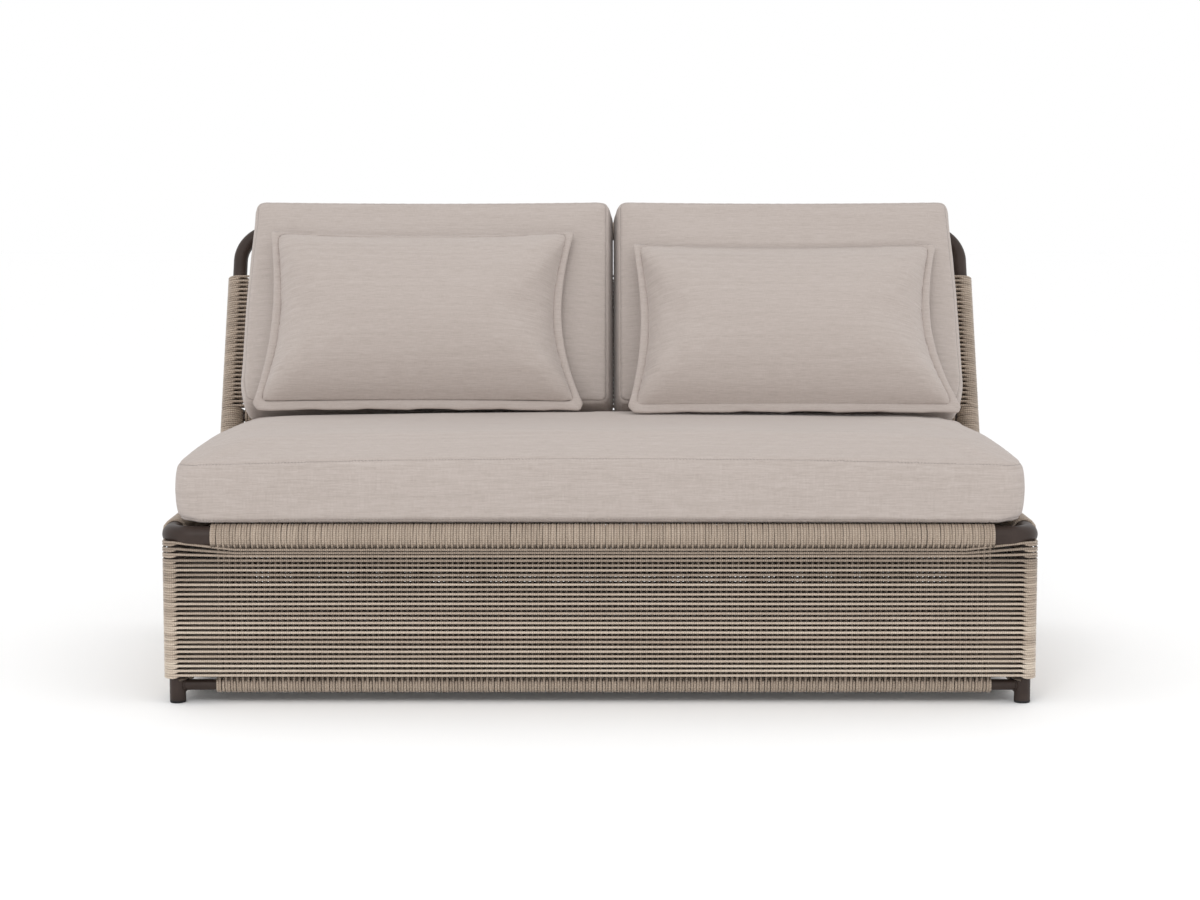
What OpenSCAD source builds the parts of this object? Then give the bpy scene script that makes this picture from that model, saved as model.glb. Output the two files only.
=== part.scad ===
// Outdoor two-seater sofa without arms.
// A powder-coated tube base is wound with round cord, and a leaning tube frame carries the backrest.
// One seat cushion, two back cushions and two flanged lumbar pillows lie loose on it.
// X runs across, the front faces -Y, and Z is up from the floor. The origin is on the floor, at the middle.

/* [Base frame] */
// Width over the bare seat ring
base_w = 1620; // [1500:10:1900]
// Depth over the bare seat ring
base_d = 950; // [900:10:1100]
// Height of the seat ring's axis
ring_z = 311; // [280:1:360]
// Outside diameter of the seat ring's tube
ring_tube = 38; // [35:1:42]
// Centreline radius of the seat ring's corners
ring_bend = 40; // [36:1:60]
// Outside diameter of the corner posts
post_tube = 30; // [26:1:32]
// From the seat ring's axes in to the axis of a post
post_inset = 9.5; // [7:0.5:13]
// Outside diameter of the lower rails
low_tube = 20; // [16:1:24]
// Height of the lower rails' axis
low_z = 33; // [28:1:45]
// Outside diameter of the two bearers under the seat
bearer_tube = 25; // [20:1:28]
// From the middle of the base out to a bearer
bearer_x = 256; // [200:1:400]
// Wall of every tube
tube_wall = 2; // [1.5:0.1:3]
// Part of a foot glide that shows under its post
glide_h = 5; // [4:1:8]
// Part of a foot glide that is pressed up into its post
glide_plug_h = 16; // [10:1:25]

/* [Back frame] */
// Outside diameter of the back frame's tube
back_tube = 30; // [26:1:32]
// From the base's outer side in to an upright's axis
upright_inset = 36; // [33:1:42]
// From the base's front edge to an upright's axis, at the height of the seat ring's axis
upright_setback = 667; // [640:1:690]
// Lean of the back frame, in degrees from upright
back_lean = 26; // [22:1:28]
// Height of the top rail's axis
back_top_z = 852; // [800:1:900]
// Centreline radius of the back frame's top corners
back_bend = 70; // [50:1:90]
// Outside diameter of the back's lower rail
back_low_tube = 20; // [16:1:24]
// Height of the back's lower rail
back_low_z = 466; // [440:1:500]

/* [Cord] */
// Diameter of the cord
cord = 4.8; // [4:0.1:5.2]
// Rows of cord round the base
base_rows = 28; // [20:1:28]
// From the seat ring's underside down to the axis of the top row
top_row_drop = 6; // [5.6:0.1:9]
// From the top of a lower rail up to the axis of the bottom row
bottom_row_rise = 11; // [4:0.1:14]
// From the base's outer sides in to the wound stretch of a rail
wrap_setback = 94; // [80:1:120]
// Upright cords behind the rows of a long panel
long_columns = 9; // [3:2:9]
// Upright cords behind the rows of a side panel
side_columns = 5; // [3:2:9]
// Rows of cord across the backrest
back_rows = 31; // [20:1:34]
// Height at which the winding of the uprights ends
back_wrap_top_z = 750; // [700:1:780]
// Upright cords behind the rows of the backrest
back_columns = 7; // [3:2:9]

/* [Seat cushion] */
// From the base's outer sides in to the seat cushion's seams
seat_pad_side = 33; // [25:1:110]
// From the base's front edge back to the seat cushion's front seams
seat_pad_front = 4; // [0:1:20]
// Height of the seat cushion's border at its corners
seat_pad_h = 113; // [90:1:140]
// Extra height of its top seam at the middle of a side
seat_seam_rise = 11; // [0:1:16]
// Rise of its top over the corner seams
seat_crown = 44; // [25:1:50]

/* [Back cushions] */
// From the left upright's axis in to the left back cushion's seams
back_pad_left_side = 51.5; // [40:0.5:90]
// From the right upright's axis in to the right back cushion's seams
back_pad_right_side = 43.5; // [40:0.5:90]
// Side shift of the meeting line between the two back cushions
back_pads_shift = 28; // [0:1:40]
// Height of a back cushion along its lean
back_pad_h = 456; // [400:2:480]
// Thickness of a back cushion at its border
back_pad_t = 148; // [120:1:170]
// Rise of a back cushion's front over its seams
back_crown = 24; // [12:1:30]

/* [Lumbar pillows] */
// How much narrower a pillow is than the right back cushion, at its lower corners
pillow_less_w = 24; // [2:2:130]
// Height of a pillow over its flange
pillow_h = 403; // [360:1:430]
// Width of the flange round a pillow
flange_w = 19; // [12:1:26]
// Thickness of the flange
flange_t = 5; // [3:0.5:8]
// Fullness of a pillow's front over its flange
pillow_crown = 72; // [50:1:85]
// Fullness of a pillow's back over its flange
pillow_back_crown = 18; // [10:1:24]
// Lean of the left pillow, in degrees from upright
pillow_left_lean = 28; // [27:1:32]
// Lean of the right pillow, in degrees from upright
pillow_right_lean = 35; // [30:1:38]
// From the left upright's axis in to the lower corner of the left pillow
pillow_left_side = 74; // [50:1:100]
// From the right upright's axis in to the lower corner of the right pillow
pillow_right_side = 48; // [40:1:70]

/* [Hidden] */
$fn = 48;
// Gap left where one rigid piece is seated on another
seat_gap = 0.1;
// Gap left where a loose soft piece rests on another
rest_gap = 0.35;
// How far a cutting shape runs past what it cuts
overrun = 60;

// Sides of a drawn cord
cord_sides = 8;

// Radii of the tubes and of their windings
ring_r = ring_tube / 2;
post_r = post_tube / 2;
low_r = low_tube / 2;
back_r = back_tube / 2;
back_low_r = back_low_tube / 2;
cord_r = cord / 2;
ring_wrap_r = ring_r + cord;
low_wrap_r = low_r + cord;
post_wrap_r = post_r + 2 * cord;
back_wrap_r = back_r + 2 * cord;
back_top_wrap_r = back_r + cord;
back_low_wrap_r = back_low_r + cord;

// Half distances between the axes of opposite pieces
ring_x = base_w / 2 - ring_r;
ring_y = base_d / 2 - ring_r;
post_x = ring_x - post_inset;
post_y = ring_y - post_inset;
wrap_x = base_w / 2 - wrap_setback;
wrap_y = base_d / 2 - wrap_setback;
upright_x = base_w / 2 - upright_inset;

// The lean's plane runs through the uprights' axes: s climbs along it and n stands out to the front
upright_y = upright_setback - base_d / 2;
function lean_s(z) = (z - ring_z) / cos(back_lean);
back_top_s = lean_s(back_top_z);
back_low_s = lean_s(back_low_z);
back_wrap_top_s = lean_s(back_wrap_top_z);

// Rows of the base, and how far their axes stand out from the posts' axes
top_row_z = ring_z - ring_r - top_row_drop;
bottom_row_z = low_z + low_r + bottom_row_rise;
row_pitch = (top_row_z - bottom_row_z) / (base_rows - 1);
row_out = post_r + 1.5 * cord;
// Where a row meets the winding of its post
row_end_in = sqrt(pow(post_wrap_r, 2) - pow(row_out - cord_r, 2)) + seat_gap;
// An upright cord lies just behind the rows
column_out = row_out - cord - seat_gap;
column_top_z = ring_z - sqrt(pow(ring_wrap_r, 2) - pow(column_out - post_inset - cord_r, 2)) - seat_gap;
column_bottom_z = low_z;

// The winding of a post climbs a little up the flank of the elbow
post_wrap_top_z = ring_z - ring_r / 2;

// Rows of the backrest
back_row_out = back_r + 1.5 * cord;
back_row_end_in = sqrt(pow(back_wrap_r, 2) - pow(back_row_out - cord_r, 2)) + seat_gap;
back_column_out = back_row_out - cord - seat_gap;
back_column_top_s = back_top_s
    - sqrt(pow(back_top_wrap_r, 2) - pow(back_column_out - cord_r, 2)) - seat_gap;
back_first_s = back_low_s + back_low_wrap_r + cord_r;
back_last_s = back_wrap_top_s - cord_r;
back_pitch = (back_last_s - back_first_s) / (back_rows - 1);

// Rounding of the glides and the fit of their plugs
glide_round = glide_h / 2;
// Gap all round between a glide's plug and the bore of its post
glide_fit = 0.4;
glide_plug_r = post_r - tube_wall - glide_fit;

// Covers, cores and zips
cover_t = 2;
core_gap = 0.6;
zip_w = 460;
zip_h = 12;
zip_t = 1.6;
zip_gap = 0.4;
// From the fullest line of a border in to the middle of the zip
zip_in = 1.3;
pillow_zip_w = 400;
pillow_zip_h = 13;
pillow_zip_t = 0.8;

// Shape of the cushions
seat_corner_r = 42;
back_corner_r = 16;
seat_bulge = 6;
back_bulge = 10;
// How far the sides are drawn in: -Y, +X, +Y and -X, where a back cushion stands on its +Y side
seat_waists = [4, 7, 0, 7];
back_left_waists = [2, 5, 0, 0];
back_right_waists = [2, 0, 0, 5];
seam_rise_low = 7;
edge_round = 12;
pillow_corner_r = 14;
pillow_side_waist = 28;
pillow_top_waist = 10;
pillow_low_waist = 3;
pillow_narrowing = 42;
arc_steps = 3;
side_steps = 5;
// Largest part of a ring's half height that its corners may fill
corner_fill_share = 0.9;
// Largest part of a side's length that it may be drawn in by
waist_limit_share = 0.1;
// How fast a crown climbs from its seam: the seat cushion is filled up to its edges
crown_steepness = 3;
seat_steepness = 7;
// Insets of the rings that draw a crown, as shares of the cushion's half height
crown_inset_shares = [0.05, 0.17, 0.42, 0.85];
pillow_inset_shares = [0.1, 0.28, 0.55, 0.88];

// Seat cushion: it lies on the cord deck and ends in front of the wound uprights
deck_z = ring_z + ring_wrap_r;
deck_end_in = sqrt(pow(ring_wrap_r, 2) - pow(ring_r, 2)) + seat_gap;
seat_pad_z = deck_z + rest_gap;
seat_pad_w = base_w - 2 * seat_pad_side;
seat_pad_rear_gap = 3.2;
seat_pad_y0 = seat_pad_front - base_d / 2;
seat_pad_y1 = upright_y + (seat_pad_z - ring_z) * tan(back_lean)
    - back_wrap_r / cos(back_lean) - seat_pad_rear_gap;
seat_pad_d = seat_pad_y1 - seat_pad_y0;
seat_pad_y = (seat_pad_y0 + seat_pad_y1) / 2;
seat_top_z = seat_pad_z + seat_pad_h + seat_crown;

// Profile of the seat cushion's rear half: how far in from the rear seams, and how high
seat_profile = [
    for (share = concat([0], crown_inset_shares))
        [share * seat_pad_d / 2,
         seat_pad_z + seat_pad_h + crown_at(share, seat_crown, seat_steepness)
             + rise_at(share, seat_seam_rise)]
];

// Back cushions: they lean on the backrest's cords and stand on the rear of the seat cushion
back_pad_n = back_wrap_r + rest_gap;
// How far the round of a back cushion's lower side reaches below its highest point of contact
back_pad_settling = 0.6;
back_pad_s = rest_gap + back_bulge - back_pad_settling + max([
    for (p = seat_profile)
        let (
            y = seat_pad_y1 - p[0] - upright_y,
            z = p[1] - ring_z,
            n = z * sin(back_lean) - y * cos(back_lean)
        )
            n < back_pad_n + back_pad_t ? y * sin(back_lean) + z * cos(back_lean) : 0
]);
back_pads_gap = 0.6;
back_pad_left_w = upright_x - back_pad_left_side + back_pads_shift - back_pads_gap / 2 - back_bulge;
back_pad_right_w = upright_x - back_pad_right_side - back_pads_shift - back_pads_gap / 2 - back_bulge;
pillow_w = back_pad_right_w - pillow_less_w;
back_front_n = back_pad_n + back_pad_t + back_crown + rest_gap;

// Colours
frame_colour = [0.22, 0.19, 0.18];
cord_colour = [0.62, 0.55, 0.47];
fabric_colour = [0.76, 0.71, 0.68];
core_colour = [0.93, 0.91, 0.85];
zip_colour = [0.60, 0.56, 0.53];

// Tubes along each axis, centred on the origin
module rod(r, length) {
    cylinder(r = r, h = length, center = true);
}

module tube(r, length) {
    difference() {
        rod(r, length);
        rod(r - tube_wall, length + overrun);
    }
}

module sleeve(r, inner, length) {
    difference() {
        rod(r, length);
        rod(inner + seat_gap, length + overrun);
    }
}

module along_x() {
    rotate([0, 90, 0]) children();
}

module along_y() {
    rotate([90, 0, 0]) children();
}

// A quarter bend from +X to +Y round the origin
module bend(r, centreline, inner = 0) {
    rotate_extrude(angle = 90)
        translate([centreline, 0])
            difference() {
                circle(r = r);
                if (inner > 0) circle(r = inner);
            }
}

// Puts children on the lean's plane: X across, Y along s, Z along n
module on_lean() {
    translate([0, upright_y, ring_z])
        rotate([90 - back_lean, 0, 0])
            children();
}

// Seat ring: four straight rails and four elbows
module seat_rail_long(side) {
    color(frame_colour)
        translate([0, side * ring_y, ring_z])
            along_x() tube(ring_r, 2 * (ring_x - ring_bend));
}

module seat_rail_side(side) {
    color(frame_colour)
        translate([side * ring_x, 0, ring_z])
            along_y() tube(ring_r, 2 * (ring_y - ring_bend));
}

module ring_corner(side_x, side_y) {
    mirror([side_x < 0 ? 1 : 0, 0, 0])
        mirror([0, side_y < 0 ? 1 : 0, 0])
            translate([ring_x - ring_bend, ring_y - ring_bend, ring_z])
                children();
}

module seat_elbow(side_x, side_y) {
    color(frame_colour)
        ring_corner(side_x, side_y) bend(ring_r, ring_bend, ring_r - tube_wall);
}

// Corner posts, coped to the underside of the elbows
module post(side_x, side_y) {
    color(frame_colour)
        difference() {
            translate([side_x * post_x, side_y * post_y, (glide_h + ring_z) / 2])
                tube(post_r, ring_z - glide_h);
            ring_corner(side_x, side_y) bend(ring_r + seat_gap, ring_bend);
        }
}

// Lower rails, coped to the posts
module lower_rail_long(side) {
    color(frame_colour)
        difference() {
            translate([0, side * post_y, low_z])
                along_x() tube(low_r, 2 * post_x);
            for (end = [-1, 1])
                translate([end * post_x, side * post_y, low_z])
                    rod(post_r + seat_gap, low_tube + overrun);
        }
}

module lower_rail_side(side) {
    color(frame_colour)
        difference() {
            translate([side * post_x, 0, low_z])
                along_y() tube(low_r, 2 * post_y);
            for (end = [-1, 1])
                translate([side * post_x, end * post_y, low_z])
                    rod(post_r + seat_gap, low_tube + overrun);
        }
}

// Bearers that hold the long rails apart, coped to them
module bearer_body(side, r) {
    translate([side * bearer_x, 0, ring_z])
        along_y() rod(r, 2 * ring_y);
}

module seat_bearer(side) {
    color(frame_colour)
        difference() {
            translate([side * bearer_x, 0, ring_z])
                along_y() tube(bearer_tube / 2, 2 * ring_y);
            for (end = [-1, 1])
                translate([side * bearer_x, end * ring_y, ring_z])
                    along_x() rod(ring_r + seat_gap, bearer_tube + overrun);
        }
}

// Glides with a rounded lower edge and a plug up into the post
module glide() {
    rotate_extrude()
        union() {
            translate([0, glide_round]) square([post_r, glide_h - glide_round]);
            square([post_r - glide_round, glide_h]);
            translate([post_r - glide_round, glide_round]) circle(r = glide_round);
            square([glide_plug_r, glide_h + glide_plug_h]);
        }
}

module foot_glides() {
    color(frame_colour)
        for (side_x = [-1, 1], side_y = [-1, 1])
            translate([side_x * post_x, side_y * post_y, 0])
                glide();
}

// Back frame
module side_rail_space(side, r) {
    translate([side * ring_x, 0, ring_z])
        along_y() rod(r, base_d);
}

module below(z) {
    translate([-base_w, -base_d, z - base_w])
        cube([2 * base_w, 2 * base_d, base_w]);
}

module upright_body(side, r, s0, s1) {
    on_lean()
        translate([side * upright_x, (s0 + s1) / 2, 0])
            along_y() rod(r, s1 - s0);
}

module back_upright(side) {
    color(frame_colour)
        difference() {
            on_lean()
                translate([side * upright_x, (back_top_s - back_bend - overrun) / 2, 0])
                    along_y() tube(back_r, back_top_s - back_bend + overrun);
            side_rail_space(side, ring_r + seat_gap);
            below(ring_z);
        }
}

module back_elbow(side) {
    color(frame_colour)
        on_lean()
            mirror([side < 0 ? 1 : 0, 0, 0])
                translate([upright_x - back_bend, back_top_s - back_bend, 0])
                    bend(back_r, back_bend, back_r - tube_wall);
}

module back_top_rail() {
    color(frame_colour)
        on_lean()
            translate([0, back_top_s, 0])
                along_x() tube(back_r, 2 * (upright_x - back_bend));
}

module back_lower_rail() {
    color(frame_colour)
        difference() {
            on_lean()
                translate([0, back_low_s, 0])
                    along_x() tube(back_low_r, 2 * upright_x);
            for (side = [-1, 1])
                upright_body(side, back_r + seat_gap, 0, back_top_s);
        }
}

// Windings of the rails, posts and uprights
module seat_rail_winding_long(side) {
    color(cord_colour)
        difference() {
            translate([0, side * ring_y, ring_z])
                along_x() sleeve(ring_wrap_r, ring_r, 2 * wrap_x);
            for (end = [-1, 1])
                bearer_body(end, bearer_tube / 2 + seat_gap);
        }
}

module seat_rail_winding_side(side) {
    color(cord_colour)
        difference() {
            translate([side * ring_x, 0, ring_z])
                along_y() sleeve(ring_wrap_r, ring_r, 2 * wrap_y);
            upright_body(side, back_r + seat_gap, -overrun, overrun);
        }
}

module lower_rail_windings() {
    color(cord_colour)
        for (side = [-1, 1]) {
            translate([0, side * post_y, low_z])
                along_x() sleeve(low_wrap_r, low_r, 2 * wrap_x);
            translate([side * post_x, 0, low_z])
                along_y() sleeve(low_wrap_r, low_r, 2 * wrap_y);
        }
}

module post_winding(side_x, side_y) {
    bottom_z = bottom_row_z - cord_r;
    difference() {
        translate([side_x * post_x, side_y * post_y, (bottom_z + post_wrap_top_z) / 2])
            sleeve(post_wrap_r, post_r, post_wrap_top_z - bottom_z);
        ring_corner(side_x, side_y) bend(ring_r + seat_gap, ring_bend);
    }
}

module post_windings() {
    color(cord_colour)
        for (side_x = [-1, 1], side_y = [-1, 1])
            post_winding(side_x, side_y);
}

module upright_winding(side) {
    color(cord_colour)
        difference() {
            on_lean()
                translate([side * upright_x, (back_wrap_top_s - overrun) / 2, 0])
                    along_y() sleeve(back_wrap_r, back_r, back_wrap_top_s + overrun);
            below(deck_z + seat_gap);
            on_lean()
                translate([0, back_low_s, 0])
                    along_x() rod(back_low_r + seat_gap, 2 * upright_x);
        }
}

module back_top_rail_winding() {
    color(cord_colour)
        on_lean()
            translate([0, back_top_s, 0])
                along_x() sleeve(back_top_wrap_r, back_r, 2 * (upright_x - back_bend));
}

module back_lower_rail_winding() {
    inner_x = upright_x - back_wrap_r - seat_gap;
    color(cord_colour)
        on_lean()
            translate([0, back_low_s, 0])
                along_x() sleeve(back_low_wrap_r, back_low_r, 2 * inner_x);
}

// One straight run of cord along X, whose flats face front and back
module cord_x(length) {
    half_angle = 180 / cord_sides;
    along_x()
        rotate([0, 0, half_angle])
            cylinder(r = cord_r / cos(half_angle), h = length, center = true, $fn = cord_sides);
}

// A panel in the XZ plane that faces -Y: rows of cord in front of upright cords
module cord_panel(half_x, columns, columns_half_x) {
    for (row = [0 : base_rows - 1])
        translate([0, -row_out, bottom_row_z + row * row_pitch])
            cord_x(2 * (half_x - row_end_in));
    for (i = [0 : columns - 1])
        translate([
            columns_half_x * (2 * i / (columns - 1) - 1),
            -column_out,
            (column_top_z + column_bottom_z) / 2
        ])
            rotate([0, 90, 0]) cord_x(column_top_z - column_bottom_z);
}

module base_cords_long(side) {
    color(cord_colour)
        mirror([0, side > 0 ? 1 : 0, 0])
            translate([0, -post_y, 0])
                cord_panel(post_x, long_columns, wrap_x - cord_r);
}

module base_cords_side(side) {
    color(cord_colour)
        mirror([side > 0 ? 1 : 0, 0, 0])
            translate([-post_x, 0, 0])
                rotate([0, 0, -90])
                    cord_panel(post_y, side_columns, wrap_y - cord_r);
}

module back_cords() {
    columns_half_x = upright_x - back_bend - cord_r;
    color(cord_colour)
        on_lean() {
            for (row = [0 : back_rows - 1])
                translate([0, back_first_s + row * back_pitch, back_row_out])
                    rotate([90, 0, 0]) cord_x(2 * (upright_x - back_row_end_in));
            for (i = [0 : back_columns - 1])
                translate([
                    columns_half_x * (2 * i / (back_columns - 1) - 1),
                    (back_low_s + back_column_top_s) / 2,
                    back_column_out
                ])
                    rotate([0, 0, 90]) cord_x(back_column_top_s - back_low_s);
        }
}

// The cords that run from the front rail to the rear rail, as one flat layer
module seat_deck_cords() {
    color(cord_colour)
        translate([-wrap_x, deck_end_in - ring_y, ring_z + ring_r])
            cube([2 * wrap_x, 2 * (ring_y - deck_end_in), cord]);
}

// Cushions are stacks of closed rings of points, joined by triangles.
// A ring is a rounded rectangle whose sides are drawn in by the waists of its -Y, +X, +Y and -X sides.
function bow(t) = 1 - pow(2 * t - 1, 2);

function ring_side(from, to, inward, waist, z, rise) = [
    for (i = [1 : side_steps - 1])
        let (
            t = i / side_steps,
            depth = min(waist, waist_limit_share * norm(to - from)),
            p = from + (to - from) * t + inward * depth * bow(t)
        )
            [p.x, p.y, z + rise * bow(t)]
];

function ring_arc(centre, r, start, z) = [
    for (i = [0 : arc_steps])
        let (a = start + 90 * i / arc_steps)
            [centre.x + r * cos(a), centre.y + r * sin(a), z]
];

// ring = [half width, half height, corner radius, z, rise of the sides' middles]
function ring_points(ring, waists) =
    let (hx = ring[0], hy = ring[1], r = ring[2], z = ring[3], rise = ring[4], cx = hx - r, cy = hy - r)
        concat(
            ring_arc([cx, -cy], r, -90, z),
            ring_side([hx, -cy], [hx, cy], [-1, 0], waists[1], z, rise),
            ring_arc([cx, cy], r, 0, z),
            ring_side([cx, hy], [-cx, hy], [0, -1], waists[2], z, rise),
            ring_arc([-cx, cy], r, 90, z),
            ring_side([-hx, cy], [-hx, -cy], [1, 0], waists[3], z, rise),
            ring_arc([-cx, -cy], r, 180, z),
            ring_side([-cx, -hy], [cx, -hy], [0, 1], waists[0], z, rise)
        );

// Narrows a cushion steadily towards its +Y edge
function narrowed(p, narrowing, hx, hy) =
    [p.x * (1 - narrowing / (2 * hx) * (p.y + hy) / (2 * hy)), p.y, p.z];

// Rings from the back to the front: every ring has as many points as the first
module ring_stack(rings, waists, narrowing = 0, hx = 1, hy = 1) {
    loops = [for (ring = rings) [
        for (p = ring_points(ring, waists)) narrowed(p, narrowing, hx, hy)
    ]];
    count = len(loops[0]);
    last = len(loops) - 1;
    bands = [
        for (k = [0 : last - 1], i = [0 : count - 1])
            let (a = k * count + i, b = k * count + (i + 1) % count)
                each [[a, a + count, b], [b, a + count, b + count]]
    ];
    back = [for (i = [1 : count - 2]) [0, i, i + 1]];
    front = [for (i = [1 : count - 2]) [last * count, last * count + i + 1, last * count + i]];
    polyhedron(points = [for (loop = loops) each loop], faces = concat(bands, back, front));
}

// Height of a crown over its seam, and what is left of a seam's rise, at a share of the way in
function crown_at(share, crown, steepness) = crown * (1 - pow(1 - share, steepness));
function rise_at(share, rise) = rise * (1 - share / max(crown_inset_shares));

// A corner radius that still fits a ring of this half height
function round_within(r, half) = min(r, corner_fill_share * half);

// A ring that is drawn in by inset, and moved by dz
function drawn_in(ring, inset, dz) =
    [ring[0] - inset, ring[1] - inset, ring[2] - inset, ring[3] + dz, ring[4]];

// Boxed cushion, Z through its thickness: its back is flat at 0, and it shrinks by inset all round
module boxed_pad(w, h, border, rise, crown, bulge, waists, r, steepness, inset = 0) {
    hx = w / 2;
    hy = h / 2;
    low = [
        [hx - edge_round, hy - edge_round, r - edge_round / 2, 0, 0],
        [hx, hy, r, seam_rise_low, 0]
    ];
    middle = [[hx + bulge, hy + bulge, r + bulge, border / 2, rise / 2]];
    top = [
        for (share = concat([0], crown_inset_shares))
            let (in = share * hy)
                [hx - in, hy - in, round_within(r + in / 2, hy - in),
                 border + crown_at(share, crown, steepness), rise_at(share, rise)]
    ];
    ring_stack(
        concat(
            [for (ring = low) drawn_in(ring, inset, inset)],
            [for (ring = middle) drawn_in(ring, inset, 0)],
            [for (ring = top) drawn_in(ring, inset, -inset)]
        ),
        waists
    );
}

// Flanged pillow, Z through its thickness: the flange's middle plane is at 0
module flanged_pillow(inset = 0) {
    hx = pillow_w / 2;
    hy = pillow_h / 2;
    half_t = flange_t / 2;
    waists = [pillow_low_waist, pillow_side_waist, pillow_top_waist, pillow_side_waist];
    seam = [hx - flange_w, hy - flange_w, pillow_corner_r, 0, 0];
    rim = [hx, hy, pillow_corner_r, 0, 0];
    dome = [
        for (share = pillow_inset_shares)
            let (in = flange_w + share * (hy - flange_w))
                [hx - in, hy - in, round_within(pillow_corner_r + in / 4, hy - in), 0, share]
    ];
    back = [
        for (i = [len(dome) - 1 : -1 : 0])
            let (
                crown = crown_at(dome[i][4], pillow_back_crown, crown_steepness),
                ring = drawn_in(dome[i], inset, inset - half_t - crown)
            )
                [ring[0], ring[1], ring[2], ring[3], 0]
    ];
    front = [
        for (d = dome)
            let (
                crown = crown_at(d[4], pillow_crown, crown_steepness),
                ring = drawn_in(d, inset, half_t - inset + crown)
            )
                [ring[0], ring[1], ring[2], ring[3], 0]
    ];
    middle = inset > 0
        ? [drawn_in(seam, inset, 0)]
        : [
            drawn_in(seam, 0, -half_t), drawn_in(rim, 0, -half_t),
            drawn_in(rim, 0, half_t), drawn_in(seam, 0, half_t)
        ];
    ring_stack(concat(back, middle, front), waists, pillow_narrowing, hx, hy);
}

// A zip in the middle of the border at the +Y side, let into the cover
module zip_block(h, border, out, depth, gap) {
    translate([0, h / 2 + out - zip_in, border / 2])
        cube([zip_w + 2 * gap, depth, zip_h + 2 * gap], center = true);
}

module pad_cover(w, h, border, rise, crown, bulge, waists, r, steepness) {
    color(fabric_colour)
        difference() {
            boxed_pad(w, h, border, rise, crown, bulge, waists, r, steepness);
            boxed_pad(w, h, border, rise, crown, bulge, waists, r, steepness, cover_t);
            zip_block(h, border + rise, bulge - waists[2], edge_round, zip_gap);
        }
}

module pad_core(w, h, border, rise, crown, bulge, waists, r, steepness) {
    color(core_colour)
        boxed_pad(w, h, border, rise, crown, bulge, waists, r, steepness, cover_t + core_gap);
}

module pad_zip(h, border, rise, bulge, waists) {
    color(zip_colour)
        zip_block(h, border + rise, bulge - waists[2], zip_t, 0);
}

// What differs between the left and the right back cushion
function back_w(side) = side < 0 ? back_pad_left_w : back_pad_right_w;
function back_waists(side) = side < 0 ? back_left_waists : back_right_waists;

// Places of the cushions
module on_seat() {
    translate([0, seat_pad_y, seat_pad_z]) children();
}

module on_back(side) {
    on_lean()
        translate([
            back_pads_shift + side * (back_pads_gap / 2 + back_w(side) / 2 + back_bulge),
            back_pad_s + back_pad_h / 2,
            back_pad_n
        ])
            rotate([0, 0, 180])
                children();
}

// How far a pillow's back reaches behind the lowest edge of its flange, square to the backrest
function pillow_reach(tilt) = max([
    for (share = concat([0], pillow_inset_shares))
        let (
            in = share > 0 ? flange_w + share * (pillow_h / 2 - flange_w) : 0,
            crown = crown_at(share, pillow_back_crown, crown_steepness)
        )
            (pillow_h - in) * sin(tilt) + (flange_t / 2 + crown) * cos(tilt)
]);

// Where the lower edge of a pillow stands when it is this high
function pillow_y(z, reach) =
    upright_y + ((z - ring_z) * sin(back_lean) - back_front_n - reach) / cos(back_lean);

// A pillow stands on the seat cushion at its lower edge and leans until it meets the back cushion
module on_pillow(side) {
    lean = side < 0 ? pillow_left_lean : pillow_right_lean;
    x = side < 0
        ? pillow_left_side + pillow_w / 2 - upright_x
        : upright_x - pillow_right_side - pillow_w / 2;
    reach = pillow_reach(lean - back_lean);
    seat_in = seat_pad_y1 - pillow_y(seat_top_z, reach);
    low_z = lookup(seat_in, seat_profile) + rest_gap + flange_t / 2 * sin(lean);
    translate([x, pillow_y(low_z, reach), low_z])
        rotate([90 - lean, 0, 0])
            translate([0, pillow_h / 2, 0])
                children();
}

module seat_cushion_cover() {
    on_seat()
        pad_cover(seat_pad_w, seat_pad_d, seat_pad_h, seat_seam_rise, seat_crown, seat_bulge, seat_waists,
            seat_corner_r, seat_steepness);
}

module seat_cushion_core() {
    on_seat()
        pad_core(seat_pad_w, seat_pad_d, seat_pad_h, seat_seam_rise, seat_crown, seat_bulge, seat_waists,
            seat_corner_r, seat_steepness);
}

module seat_cushion_zip() {
    on_seat() pad_zip(seat_pad_d, seat_pad_h, seat_seam_rise, seat_bulge, seat_waists);
}

module back_cushion_cover(side) {
    on_back(side)
        pad_cover(back_w(side), back_pad_h, back_pad_t, 0, back_crown, back_bulge, back_waists(side),
            back_corner_r, crown_steepness);
}

module back_cushion_core(side) {
    on_back(side)
        pad_core(back_w(side), back_pad_h, back_pad_t, 0, back_crown, back_bulge, back_waists(side),
            back_corner_r, crown_steepness);
}

module back_cushion_zip(side) {
    on_back(side) pad_zip(back_pad_h, back_pad_t, 0, back_bulge, back_waists(side));
}

// The zip lies hidden between the two layers of a pillow's lower flange
module pillow_zip_bar(gap, depth) {
    translate([0, pillow_low_waist + (flange_w - pillow_h) / 2, 0])
        cube([pillow_zip_w + 2 * gap, depth, pillow_zip_t + 2 * gap], center = true);
}

module pillow_cover(side) {
    color(fabric_colour)
        on_pillow(side)
            difference() {
                flanged_pillow();
                flanged_pillow(cover_t);
                pillow_zip_bar(zip_gap, 2 * flange_w);
            }
}

module pillow_fill(side) {
    color(core_colour)
        on_pillow(side) flanged_pillow(cover_t + core_gap);
}

module pillow_zip(side) {
    color(zip_colour)
        on_pillow(side) pillow_zip_bar(0, pillow_zip_h);
}

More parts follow.
